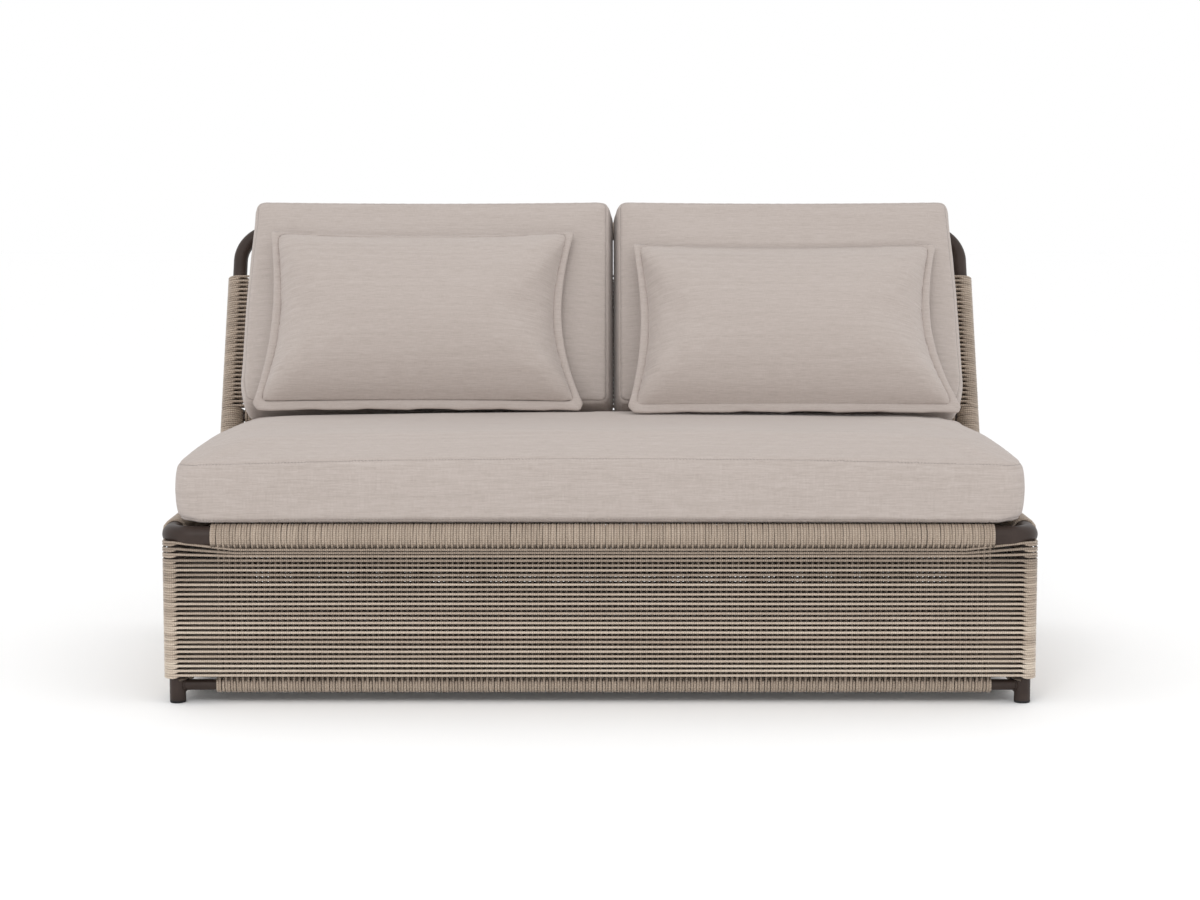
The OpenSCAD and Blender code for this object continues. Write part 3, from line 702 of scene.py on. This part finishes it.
# Painted shade in the seam's groove: the colour goes half way to a dark fabric colour on the seam line
def seam_painted_shade(colour, line):
    mix = node(line.id_data, "ShaderNodeMix", data_type="RGBA", blend_type="MIX")
    seam_shade_colour = (*(0.5 * c for c in FABRIC_MID), 1)
    return feed(mix, {0: math_node("MULTIPLY", line, 0.5), 6: colour, 7: seam_shade_colour}).outputs[2]


def fabric_material():
    """Slub-yarn fabric: its threads follow each panel's cut, and its seams are thin lines of painted shade.
    """
    material, tree, shader = new_material("slub_fabric")
    cloth = attribute(tree, "cloth")["Vector"]
    streaks = [
        noise_node(scaled(cloth, (1 / length, 1 / width, PANEL_CHANGE)), 1.0, detail)
        for length, width, detail, _ in STREAKS
    ]
    blend = weighted_sum(0.0, *zip(streaks, (values[-1] for values in STREAKS)))
    line = seam_line(tree)
    slubs, fine = streaks[:2]
    weave = wave_product(split(cloth)[:2], TAU / THREAD_PITCH)
    relief = weighted_sum(0.0, (fine, 0.5), (slubs, 0.5), (weave, 0.3), (line, -1.8))
    feed(shader, {
        "Base Color": seam_painted_shade(ramp_node(blend, FABRIC_STOPS), line), "Roughness": 0.9,
        "Sheen Weight": 0.18, "Sheen Roughness": 0.5, "Specular IOR Level": 0.15,
        "Normal": bump(relief, 0.0004, 0.6),
    })
    return material


ZIP_THREADS = (300.0, 1500.0, 1500.0)
ZIP_STOPS = ((0.3, (0.28, 0.235, 0.20)), (0.7, (0.40, 0.34, 0.30)))


def zip_material():
    material, tree, shader = new_material("zip_tape")
    threads = noise_node(scaled(object_place(tree), ZIP_THREADS), 1.0)
    colour = ramp_node(threads, ZIP_STOPS)
    feed(shader, {"Base Color": colour, "Roughness": 0.8, "Normal": bump(threads, 0.0003, 0.6)})
    return material


# The cushions' forms: rings of points, as part.scad draws them, with finer steps
EDGE_ROUND = 0.012
SEAM_RISE_LOW = 0.007
CROWN_SHARES = np.array((0.0, 0.05, 0.17, 0.42, 0.85))
PILLOW_SHARES = np.array((0.0, 0.1, 0.28, 0.55, 0.88))
CROWN_STEEPNESS = 3
CORNER_FILL = 0.9
WAIST_LIMIT = 0.1
ARC_STEPS = 8
SIDE_STEPS = 30
# Steps up the lower edge: shares of the rounding, off the corner, of the low seam's rise and of the inset
EDGE_STEPS = ((1, 0.5, 0, 1), (0.4, 0.25, 0.3, 1), (0, 0, 1, 0.6))
BORDER_STEPS = (0.25, 0.5, 0.75)
CROWN_STEPS = (0.0, 0.03, 0.06, 0.11, 0.17, 0.25, 0.33, 0.42, 0.55, 0.7, 0.85)
PILLOW_STEPS = (0.03, 0.1, 0.19, 0.28, 0.41, 0.55, 0.7, 0.88)


def bow(t):
    return 1 - (2 * t - 1) ** 2


def fine_ring(hx, hy, r, z, rise, waists):
    """A rounded rectangle whose sides are drawn in; waists are those of -Y, +X, +Y and -X."""
    cx = hx - r
    cy = hy - r
    centres = ((cx, -cy), (cx, cy), (-cx, cy), (-cx, -cy))
    turns = [arc_points(x, y, r, 90 * k - 90, 90 * k, ARC_STEPS) for k, (x, y) in enumerate(centres)]
    t = np.linspace(0, 1, SIDE_STEPS + 1)[1:-1]
    parts = []
    for k, turn in enumerate(turns):
        parts.append(np.column_stack([turn, np.full(len(turn), z)]))
        after = (k + 1) % 4
        way = turns[after][0] - turn[-1]
        length = math.hypot(*way)
        inward = np.array((-way[1], way[0])) / length
        depth = min(waists[after], WAIST_LIMIT * length)
        flat = turn[-1] + way * t[:, None] + inward * (depth * bow(t))[:, None]
        parts.append(np.column_stack([flat, z + rise * bow(t)]))
    return np.concatenate(parts)


def crown_height(share, shares, crown, steepness):
    """Height of a crown at a share of the way in, straight between the heights at the given shares."""
    return np.interp(share, shares, crown * (1 - (1 - shares) ** steepness))


class Form:
    """A cushion's form in its own frame, with Z through its thickness."""

    def __init__(self, axes, **sizes):
        self.axes = axes
        vars(self).update(sizes)


class Pad(Form):
    """A boxed cushion, with its lower face at Z 0, and its border bulging out to the given size."""

    def __init__(self, axes, size, **sizes):
        super().__init__(axes, size=size, **sizes)
        self.w, self.h = size[:2] - 2 * self.bulge

    def rings(self, inset):
        hx = self.w / 2
        hy = self.h / 2
        r = self.corner
        levels = []
        for round_share, corner_share, rise_share, inset_share in EDGE_STEPS:
            off = EDGE_ROUND * round_share
            corner = r - EDGE_ROUND * corner_share
            z = SEAM_RISE_LOW * rise_share
            levels.append((hx - off, hy - off, corner, z, 0.0, inset * inset_share))
        for share in BORDER_STEPS:
            out = self.bulge * bow(share)
            z = SEAM_RISE_LOW + (self.border - SEAM_RISE_LOW) * share
            levels.append((hx + out, hy + out, r + out, z, self.rise * share, 0.0))
        for share in CROWN_STEPS:
            inward = share * hy
            z = self.border + crown_height(share, CROWN_SHARES, self.crown, self.steepness)
            corner = min(r + inward / 2, CORNER_FILL * (hy - inward))
            rise = self.rise * (1 - share / CROWN_STEPS[-1])
            levels.append((hx - inward, hy - inward, corner, z, rise, -inset))
        return [
            fine_ring(a - inset, b - inset, c - inset, z + dz, rise, self.waists)
            for a, b, c, z, rise, dz in levels
        ]

    def seams(self):
        """The low and the top ring of seams, each with its way into the border."""
        low = fine_ring(self.w / 2, self.h / 2, self.corner, SEAM_RISE_LOW, 0.0, self.waists)
        top = fine_ring(self.w / 2, self.h / 2, self.corner, self.border, self.rise, self.waists)
        return [(low, -1), (top, 1)]


class SeatPad(Pad):
    def settle(self, points):
        """The lower front edge hangs a little over the rail, and the front corners spread."""
        off = self.axes.local(points)
        front = ease(-off[:, 1] - self.h / 2, *DROOP_FRONT)
        low = 1 - ease(off[:, 2], *DROOP_HEIGHT)
        aside = ease(np.abs(off[:, 0]), self.w / 2 - SPREAD_CORNER, self.w / 2) * np.sign(off[:, 0])
        aside *= ease(-off[:, 1], 0.0, SPREAD_DEPTH)
        return points - (SEAT_DROOP * front * low)[:, None] * UP + (SEAT_SPREAD * aside)[:, None] * RIGHT


class BackPad(Pad):
    def settle(self, points):
        """The outer side spreads towards the seat, and the two cushions' inner sides all but meet."""
        off = self.axes.local(points)
        aside = -self.side * off[:, 0] / (self.size[0] / 2)
        height = 0.5 - off[:, 1] / self.size[1]
        spread = ease(1 - height, 0, 0.75) * (0.15 + 0.85 * ease(height, 0, 0.15))
        swell = ease(1 - height, 0.02, 0.3) * ease(height, 0.2, 0.6)
        more = (BACK_SPREAD * spread + BACK_SIDE_SWELL * swell) * ease(aside, 0.5, 1)
        more -= BACK_TOUCH * ease(-aside, 0.8, 0.97)
        return points + self.side * more[:, None] * RIGHT


class Pillow(Form):
    """A flanged pillow: the flange's middle plane is at Z 0."""

    def narrowed(self, ring):
        factor = 1 - self.narrowing / self.w * (ring[:, 1] / self.h + 0.5)
        return np.column_stack([ring[:, 0] * factor, ring[:, 1:]])

    def outline(self, inward, z):
        """The pillow's outline, drawn in by a distance."""
        corner = max(self.corner * 0.3, self.corner + (self.flange - inward) * 0.5)
        ring = fine_ring(self.w / 2 - inward, self.h / 2 - inward, corner, z, 0.0, self.waists)
        return self.narrowed(ring)

    def level(self, share, side, crown, inset):
        """A ring of one face at a share of the way in from the seam."""
        hy = self.h / 2
        inward = self.flange + share * (hy - self.flange)
        corner = min(self.corner + inward / 4, CORNER_FILL * (hy - inward))
        rise = crown_height(share, PILLOW_SHARES, crown, CROWN_STEEPNESS)
        z = side * (self.half_t - inset + rise)
        off = inward + inset
        return self.narrowed(fine_ring(self.w / 2 - off, hy - off, corner - inset, z, 0.0, self.waists))

    def rings(self, inset):
        back = [self.level(share, -1, self.back_crown, inset) for share in reversed(PILLOW_STEPS)]
        front = [self.level(share, 1, self.crown, inset) for share in PILLOW_STEPS]
        return back + [self.outline(self.flange + inset, 0.0)] + front

    def seams(self):
        return [(self.outline(self.flange, 0.0), 0)]

    def over_seam(self, distance, edge):
        """From 0 at a third of the way out, to 1 at the flange's seam, and back to 0 at its edge."""
        seam = edge - self.flange
        return ease(distance, seam / 3, seam) * np.clip((edge - distance) / self.flange, 0, 1)

    def settle(self, points):
        """The filling spreads over the flange's seam, most at the top, and the pillow sinks to one side."""
        x, y, z = self.axes.local(points).T
        height = np.clip(0.5 + y / self.h, 0, 1)
        half = (self.w / 2 - self.waists[1] * bow(height)) * (1 - self.narrowing / self.w * height)
        aside = x / half
        more_x = PILLOW_SIDE_FILL * self.over_seam(np.abs(x), half) * np.sign(aside)
        low_edge, top_edge = (self.h / 2 - self.waists[k] * bow((aside + 1) / 2) for k in (0, 2))
        more_y = PILLOW_TOP_FILL * self.over_seam(y, top_edge) * ease(z, *TOP_FILL_DEPTH)
        more_y -= PILLOW_LOW_FILL * self.over_seam(-y, low_edge)
        more_x += self.sway * bow(height) + self.top_shift * height ** 2
        return points + more_x[:, None] * RIGHT + more_y[:, None] * self.axes.ways[1]


def stack_mesh(name, rings, place):
    """A closed mesh through rings of equally many points, with a fan over each end."""
    count = len(rings[0])
    ends = len(rings) * count
    i = np.arange(count)
    j = (i + 1) % count
    quads = grid_quads(len(rings), count, closed=False)
    low_fan = np.stack([j, i, np.full(count, ends)], -1)
    top_fan = np.stack([ends - count + i, ends - count + j, np.full(count, ends + 1)], -1)
    verts = np.concatenate(rings + [ring.mean(0, keepdims=True) for ring in (rings[0], rings[-1])])
    faces = np.concatenate([quads[:, :3], quads[:, [0, 2, 3]], low_fan, top_fan])
    return link_mesh(name, place(verts), faces)


# Soft pieces
def apply_modifier(obj, modifier):
    bpy.ops.object.select_all(action="DESELECT")
    obj.select_set(True)
    bpy.context.view_layer.objects.active = obj
    bpy.ops.object.modifier_apply(modifier=modifier.name)


def read_vectors(items, key):
    values = np.zeros(len(items) * 3, np.float32)
    items.foreach_get(key, values)
    return values.reshape(-1, 3).astype(float)


def coordinates(obj):
    return read_vectors(obj.data.vertices, "co")


def set_coordinates(obj, co):
    obj.data.vertices.foreach_set("co", co.astype(np.float32).ravel())
    obj.data.update()


def remesh(obj, voxel):
    apply_modifier(obj, set_all(obj.modifiers.new("remesh", "REMESH"), mode="VOXEL", voxel_size=voxel))


def refine(obj):
    apply_modifier(obj, set_all(obj.modifiers.new("finer", "SUBSURF"), levels=1))


SIM_FRAMES = 14
CLOTH = {
    "quality": 3, "mass": 0.3, "tension_stiffness": 15, "compression_stiffness": 15,
    "bending_stiffness": 0.5, "vertex_group_mass": "held", "use_pressure": True,
    "uniform_pressure_force": 4.0,
}


def inflate(obj, pinned):
    """Swells the piece under pressure by a cloth simulation, held at its seams."""
    group = obj.vertex_groups.new(name="held")
    for index, weight in enumerate(pinned):
        if weight > 0.02:
            group.add([index], float(weight), "REPLACE")
    modifier = obj.modifiers.new("cloth", "CLOTH")
    set_all(modifier.settings, **CLOTH)
    modifier.settings.effector_weights.gravity = 0
    modifier.collision_settings.use_collision = False
    set_all(modifier.point_cache, frame_start=1, frame_end=SIM_FRAMES)
    for step in range(1, SIM_FRAMES + 1):
        bpy.context.scene.frame_set(step)
    apply_modifier(obj, modifier)
    bpy.context.scene.frame_set(1)


def surface_tree(co, data):
    return BVHTree.FromPolygons(co, [tuple(p.vertices) for p in data.polygons])


def node_surface(name):
    data = NODES[name].data
    return surface_tree([v.co.copy() for v in data.vertices], data)


def signed_distances(points, tree):
    """Distance of each point from a solid's surface, positive outside, and the way out."""
    values = np.zeros(len(points))
    ways = np.zeros((len(points), 3))
    for i, p in enumerate(points):
        spot, normal, _, distance = tree.find_nearest(Vector(p))
        outside = (Vector(p) - spot).dot(normal) >= 0
        values[i] = distance if outside else -distance
        ways[i] = normal
    return values, ways


def distances(points, trees, reach):
    """Distance to the nearest of some nodes, or reach where they are farther."""
    values = np.full(len(points), reach)
    for tree in trees:
        for i, p in enumerate(points):
            found = tree.find_nearest(Vector(p), values[i])
            if found[0] is not None:
                values[i] = min(values[i], found[3])
    return values


def dense_ring(ring, steps=8):
    """A closed ring with more points, and the way out of it at each."""
    ahead = np.roll(ring, -1, 0)
    shares = np.arange(steps) / steps
    points = ring[:, None] * (1 - shares[:, None]) + ahead[:, None] * shares[:, None]
    step = ahead - ring
    out = unit(np.stack([step[:, 1], -step[:, 0]], -1))
    return points.reshape(-1, 3), np.repeat(out, steps, 0)


def nearest(points, places):
    """For each point, the index of the nearest place and its distance."""
    tree = KDTree(len(places))
    for i, p in enumerate(places):
        tree.insert(p, i)
    tree.balance()
    found = [tree.find(p) for p in points]
    return np.array([f[1] for f in found]), np.array([f[2] for f in found])


NEIGHBOUR_REACH = 0.030
NEIGHBOUR_NEAR = 0.006
TOUCH_REACH = 0.012
SEAM_HOLD = 0.012
# Least depths of the surface under its limit, and of its floor under the cover's face
SURFACE_GAP = 0.0001
FLOOR_GAP = 0.0002
UNDULATION = 0.0012


def undulation(x, y):
    """A smooth pattern of shallow hollows, from 0 to 2."""
    return 1 + np.sin(x * 19 + 2 * np.sin(y * 11)) * np.sin(y * 23 + 1.7)


def soft_form(name, form, core, neighbours, voxel, swell):
    """A cushion from its ring form: remeshed, inflated, held inside the space of its CAD cover."""
    obj = stack_mesh(name, form.rings(COVER_OVER_CORE), form.axes.place)
    remesh(obj, voxel)
    start = coordinates(obj)
    seams = np.concatenate([form.axes.place(dense_ring(ring)[0]) for ring, _ in form.seams()])
    inflate(obj, np.clip(1 - nearest(start, seams)[1] / SEAM_HOLD, 0, 1))
    co = coordinates(obj)
    out, ways = signed_distances(co, node_surface(core))
    near = distances(co, [node_surface(other) for other in neighbours], NEIGHBOUR_REACH)
    free = ease(near, NEIGHBOUR_NEAR, NEIGHBOUR_REACH)
    x, y, _ = form.axes.local(start).T
    limit = COVER_OVER_CORE - SURFACE_GAP + (swell - UNDULATION * undulation(x, y)) * free
    excess = np.maximum(out - limit, 0)
    lack = np.maximum(np.minimum(limit, COVER_OVER_CORE - FLOOR_GAP) - out, 0)
    lack *= 1 - ease(near, TOUCH_REACH, NEIGHBOUR_REACH)
    set_coordinates(obj, form.settle(co + (lack - excess)[:, None] * ways))
    return obj


def add_cloth_values(obj, cloth, seam):
    """Values for the fabric: a place on its flat cut, and the signed distance to a seam."""
    layer = obj.data.attributes.new("cloth", "FLOAT_VECTOR", "POINT")
    layer.data.foreach_set("vector", np.asarray(cloth, np.float32).ravel())
    add_point_values(obj, "seam", np.broadcast_to(seam, len(cloth)))


# Third value of a place on the cut, so that the panels don't share their threads
TOP_PANEL = 0.0
BORDER_PANEL = 0.31
LOW_PANEL = 0.73
FAR_FROM_SEAM = 1.0
SEAM_DEPTH = 0.0026
SEAM_WIDTH = 0.0050
PUCKER_DEPTH = 0.0003
PUCKER_WIDTH = 0.014


def pad_seams(form, co, local, tree):
    """For each point: distance to a seam, the same below 0 on the border, and the way round."""
    best = np.full(len(co), FAR_FROM_SEAM)
    signed = np.full(len(co), FAR_FROM_SEAM)
    along = np.zeros(len(co))
    for ring, up in form.seams():
        dense, out = dense_ring(ring)
        places = form.settle(form.axes.place(dense))
        surface = np.array([tree.find_nearest(Vector(p))[0] for p in places])
        index, distance = nearest(co, surface)
        gap = local - form.axes.local(surface)[index]
        side = gap[:, 2] * up - 0.5 * (gap[:, :2] * out[index]).sum(1)
        closer = distance < best
        best = np.where(closer, distance, best)
        signed = np.where(closer, np.where(side > 0, distance, -distance), signed)
        lengths = np.linalg.norm(np.roll(dense, -1, 0) - dense, axis=1)
        start = np.argmax(dense[:, 1] - np.abs(dense[:, 0]) * 0.01)
        run = np.cumsum(np.roll(lengths, -start))
        along = np.where(closer, np.roll(run, start)[index], along)
    return best, signed, along


def puckers(co):
    x, y, z = co.T
    return 1 + 0.5 * (np.sin(x * 310 + y * 190) + np.sin(x * 173 - z * 261 + 1.3))


def sew_pad(obj, form):
    """Draws a pad's seams in after the remesh, with small puckers, and lays out its fabric."""
    refine(obj)
    co = coordinates(obj)
    local = form.axes.local(co)
    best, signed, along = pad_seams(form, co, local, surface_tree(co.tolist(), obj.data))
    groove = SEAM_DEPTH * np.exp(-(best / SEAM_WIDTH) ** 2)
    pucker = PUCKER_DEPTH * np.exp(-(best / PUCKER_WIDTH) ** 2) * puckers(co)
    normals = read_vectors(obj.data.vertex_normals, "vector")
    set_coordinates(obj, co - (groove + pucker)[:, None] * normals)
    x, y, z = local.T
    border = signed < 0
    panel = np.where(border, BORDER_PANEL, np.where(z > form.border / 2, TOP_PANEL, LOW_PANEL))
    cloth = np.stack([np.where(border, along, x), np.where(border, z, y), panel], -1)
    add_cloth_values(obj, cloth, signed)


def sew_pillow(obj, form):
    refine(obj)
    x, y, z = form.axes.local(coordinates(obj)).T
    cloth = np.stack([x, y, np.where(z > 0, TOP_PANEL, LOW_PANEL)], -1)
    add_cloth_values(obj, cloth, FAR_FROM_SEAM)


def dress(obj, material):
    obj.data.materials.clear()
    obj.data.materials.append(material)


def finish_piece(obj, material, body, replaced=()):
    dress(obj, material)
    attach(obj, body)
    if replaced:
        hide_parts(*replaced)


# Camera, light and floor
CAMERA_PLACE = (0.0, -5.175, 0.958)
CAMERA_TILT = 84.1
CAMERA_LENS = 77.76
WORLD_STRENGTH = 1.0
WHITE = (1, 1, 1, 1)
# Area lights: place, target, size and power
LIGHTS = {
    "key": ((-0.8, -4.2, 3.2), (0, 0, 0.3), (1.2, 0.9), 34),
    "top": ((0.4, 0.2, 3.6), (0, 0, 0.3), (2.6, 2.0), 4),
    "fill": ((2.8, -2.6, 1.6), (0, 0, 0.4), (2.0, 2.0), 4),
}
FLOOR_HALF = 30.0
FLOOR_STOPS = ((0, (0.96, 0.96, 0.96)), (1, (0.98, 0.98, 0.98)))


def make_camera():
    data = set_all(bpy.data.cameras.new("camera"), sensor_width=36, lens=CAMERA_LENS)
    tilt = (math.radians(CAMERA_TILT), 0, 0)
    bpy.context.scene.camera = set_all(link("camera", data), location=CAMERA_PLACE, rotation_euler=tilt)


def area_light(name, place, target, size, power):
    data = bpy.data.lights.new(name, "AREA")
    set_all(data, shape="RECTANGLE", size=size[0], size_y=size[1], energy=power)
    turn = (Vector(target) - Vector(place)).to_track_quat("-Z", "Y").to_euler()
    set_all(link(name, data), location=place, rotation_euler=turn)


def make_world():
    world = bpy.data.worlds.new("studio")
    world.use_nodes = True
    feed(world.node_tree.nodes["Background"], {"Color": WHITE, "Strength": WORLD_STRENGTH})
    bpy.context.scene.world = world
    bpy.context.scene.view_settings.view_transform = "Standard"


def make_floor():
    corners = np.array([(-1, -1, 0), (1, -1, 0), (1, 1, 0), (-1, 1, 0)])
    floor = link_mesh("floor", FLOOR_HALF * corners, np.array([[0, 1, 2, 3]]))
    material, tree, shader = new_material("floor")
    feed(shader, {
        "Base Color": ramp_node(noise_node(object_place(tree), 3.0), FLOOR_STOPS), "Roughness": 0.9,
        "Specular IOR Level": 0.1, "Emission Color": WHITE, "Emission Strength": 0.03,
    })
    dress(floor, material)


make_camera()
make_world()
for name, values in LIGHTS.items():
    area_light(name, *values)
make_floor()

# Frame
COAT = coat_material("powder_coat", (0.031, 0.020, 0.016), 0.45)
GLIDE = coat_material("glide_plastic", (0.012, 0.012, 0.013), 0.55)
TUBES = ("seat_rail_", "seat_elbow_", "post_", "lower_rail_", "seat_bearer_", "back_")
for name, obj in NODES.items():
    if name.startswith(TUBES) and not any(word in name for word in ("winding", "cushion", "cords")):
        dress(obj, COAT)
dress(NODES["foot_glides"], GLIDE)
finish_piece(weld_beads().build("weld_beads"), COAT, "frame")

# Cords
CORD_LOOK = cord_material()


def finish_cords(group, name, replaced):
    finish_piece(group.build(name), CORD_LOOK, "frame", replaced)


for panel in PANELS:
    more = [("post_windings",), ("lower_rail_windings",)] if panel == "front" else [(), ()]
    finish_cords(panel_rows(panel), "rows_" + panel, ("base_cords_" + panel, *more[0]))
    finish_cords(panel_columns(panel), "uprights_" + panel, ("seat_rail_winding_" + panel, *more[1]))
finish_cords(deck_cords(), "deck_cords", ("seat_deck_cords",))
finish_cords(back_rows(), "back_row_cords", ("back_cords",))
for side, word in ((-1, "left"), (1, "right")):
    finish_cords(upright_turns(side), "upright_turns_" + word, ("upright_winding_" + word,))
finish_cords(back_columns(), "back_upright_cords", ("back_top_rail_winding", "back_lower_rail_winding"))

# Cushions
FABRIC = fabric_material()
ZIP = zip_material()
SEAT_DROOP = 0.0042
SEAT_SPREAD = 0.003
# Where the seat droops: about its front face, and up from its lower face
DROOP_FRONT = (-0.012, 0.002)
DROOP_HEIGHT = (0.010, 0.045)
# How far from a side, and from the middle to the front, the front corners' spread grows
SPREAD_CORNER = 0.2
SPREAD_DEPTH = 0.25
BACK_SPREAD = 0.015
BACK_SIDE_SWELL = 0.005
BACK_TOUCH = 0.00038
BACK_WAISTS = {"left": (0.002, 0.005, 0.0, 0.0), "right": (0.002, 0.0, 0.0, 0.005)}
# Each pillow's lean in degrees, and how far its middle and its top stand to the side
PILLOWS = {"left": (28, -0.009, 0.0), "right": (35, -0.011, -0.008)}
PILLOW_H = 0.403
PILLOW_HALF_T = 0.0025
# How far its filling spreads over the flange at the sides, the top and the foot
PILLOW_SIDE_FILL = 0.0075
PILLOW_TOP_FILL = 0.021
PILLOW_LOW_FILL = 0.0045
# Local Z between which the filling's spread at the top begins, so that the back face keeps its place
TOP_FILL_DEPTH = (-0.018, -0.006)


def seat_form():
    lo, hi = (np.array(corner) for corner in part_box("seat_cushion_cover"))
    return SeatPad(
        Axes((0.0, (lo[1] + hi[1]) / 2, lo[2]), RIGHT, BACK, UP), hi - lo, border=0.113, rise=0.011,
        crown=0.044, steepness=7, bulge=0.006, corner=0.042, waists=(0.004, 0.007, 0.0, 0.007),
    )


def cover_points(body):
    return np.array([v.co for v in NODES[body + "_cover"].data.vertices])


def back_form(word):
    corners = LEAN.local(cover_points("back_cushion_" + word))
    lo = corners.min(0)
    hi = corners.max(0)
    origin = LEAN.place(np.append((lo + hi)[:2] / 2, lo[2]))
    return BackPad(
        Axes(origin, -RIGHT, -S, N), hi - lo, border=0.148, rise=0.0, crown=0.024,
        steepness=CROWN_STEEPNESS, bulge=0.010, corner=0.016, waists=BACK_WAISTS[word],
        side=-1 if word == "left" else 1,
    )


def pillow_form(word):
    lo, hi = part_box("pillow_" + word + "_cover")
    lean, sway, top_shift = PILLOWS[word]
    a = math.radians(lean)
    up = np.array((0.0, math.sin(a), math.cos(a)))
    out = np.array((0.0, -math.cos(a), math.sin(a)))
    co = cover_points("pillow_" + word)
    foot = co[co @ up < (co @ up).min() + 1e-5].mean(0)
    low_edge = np.array(((lo.x + hi.x) / 2, foot[1], lo.z + PILLOW_HALF_T * math.sin(a)))
    return Pillow(
        Axes(low_edge + up * PILLOW_H / 2, RIGHT, up, out), w=0.6682, h=PILLOW_H, flange=0.019,
        half_t=PILLOW_HALF_T, crown=0.072, back_crown=0.018, corner=0.014, narrowing=0.042,
        waists=(0.003, 0.028, 0.010, 0.028), sway=sway, top_shift=top_shift,
    )


# The flange's lower edge is drawn up in waves of this size and length
FLANGE_WAVE = 0.0035
FLANGE_WAVE_LENGTH = 0.125
FLANGE_FRONT_BULK = 0.0040
FLANGE_BACK_BULK = 0.92
FLANGE_UNDER_DOME = 0.008
FLANGE_SECTIONS = 14
FLANGE_ROUND = 0.8
FLANGE_RIPPLE = 0.3
# Heights between which the lower and the upper flange's own shape begins, as shares of the pillow's
FLANGE_LOW_PART = (0.42, 0.48)
FLANGE_TOP_PART = (0.38, 0.44)
# The upper flange is folded back by this much, where the back cushion leaves room, but not its corners
FLANGE_TOP_FOLDS = {"left": 0.011, "right": 0.003}
FLANGE_CORNER = (0.030, 0.060)


def flange_wave(x):
    a = x * TAU / FLANGE_WAVE_LENGTH
    return FLANGE_WAVE * (0.6 + 0.4 * (np.sin(a) + 0.5 * np.sin(2.3 * a + 1)))


def flange_ring(form, ring, inward, thick, edge, fold):
    """One ring of the flange: edge is 1 at its edge and 0 under the filling, thick 1 at the front."""
    bulk = FLANGE_FRONT_BULK if thick > 0 else form.half_t * FLANGE_BACK_BULK
    x = ring[:, 0]
    t = np.arange(len(ring)) / len(ring)
    low = ease(-ring[:, 1] / form.h, *FLANGE_LOW_PART)
    ring[:, 1] += flange_wave(x) * low * edge
    ripple = np.sin(19 * TAU * t) + np.sin(31 * TAU * t + 1)
    ring[:, 2] = math.copysign(abs(thick) ** FLANGE_ROUND, thick) * bulk
    ring[:, 2] += np.maximum(FLANGE_RIPPLE * form.half_t * ripple, 0) * edge
    top = ease(ring[:, 1] / form.h, *FLANGE_TOP_PART)
    top *= ease(form.w / 2 - np.abs(x), *FLANGE_CORNER)
    ring[:, 2] -= fold * top * max(0.0, 1 - inward / form.flange)
    return form.settle(form.axes.place(ring))


def flange_mesh(name, form, fold):
    """The flat double hem round a pillow: a rounded strip that waves a little, in panels of fabric."""
    rings = []
    cloth = []
    for angle in np.arange(FLANGE_SECTIONS) * TAU / FLANGE_SECTIONS:
        edge = (1 + math.cos(angle)) / 2
        thick = math.sin(angle)
        inward = (form.flange + FLANGE_UNDER_DOME) * (1 - edge)
        ring = form.outline(inward, TOP_PANEL if thick > 0 else LOW_PANEL)
        cloth.append(ring.copy())
        rings.append(flange_ring(form, ring, inward, thick, edge, fold))
    obj = link_mesh(name, np.concatenate(rings), grid_quads(FLANGE_SECTIONS, len(rings[0])))
    add_cloth_values(obj, np.concatenate(cloth), FAR_FROM_SEAM)
    return obj


def cushion(body, form, inside, neighbours, voxel, swell, sew):
    """A soft piece that stands for its CAD cover and for what is inside it."""
    obj = soft_form(body + "_fabric", form, inside, neighbours, voxel, swell)
    sew(obj, form)
    finish_piece(obj, FABRIC, body, (body + "_cover", inside))


WINDINGS = ["upright_winding_left", "upright_winding_right"]
PAD_VOXEL = 0.006
PILLOW_VOXEL = 0.005

cushion(
    "seat_cushion", seat_form(), "seat_cushion_core",
    ["seat_deck_cords", "back_cushion_left_cover", "back_cushion_right_cover", "pillow_left_cover",
     "pillow_right_cover", *WINDINGS, "seat_rail_winding_front"],
    PAD_VOXEL, 0.0025, sew_pad,
)
for word, other in (("left", "right"), ("right", "left")):
    body = "back_cushion_" + word
    cushion(
        body, back_form(word), body + "_core",
        ["seat_cushion_cover", "back_cushion_" + other + "_cover", "pillow_" + word + "_cover",
         "back_cords", "back_top_rail_winding", *WINDINGS],
        PAD_VOXEL, 0.004, sew_pad,
    )
for word in PILLOWS:
    body = "pillow_" + word
    form = pillow_form(word)
    covers = ["seat_cushion_cover", "back_cushion_" + word + "_cover"]
    cushion(body, form, body + "_fill", covers, PILLOW_VOXEL, 0.005, sew_pillow)
    flange = flange_mesh(body + "_flange", form, FLANGE_TOP_FOLDS[word])
    finish_piece(flange, FABRIC, body)

for name, obj in NODES.items():
    if name.endswith("_zip"):
        dress(obj, ZIP)
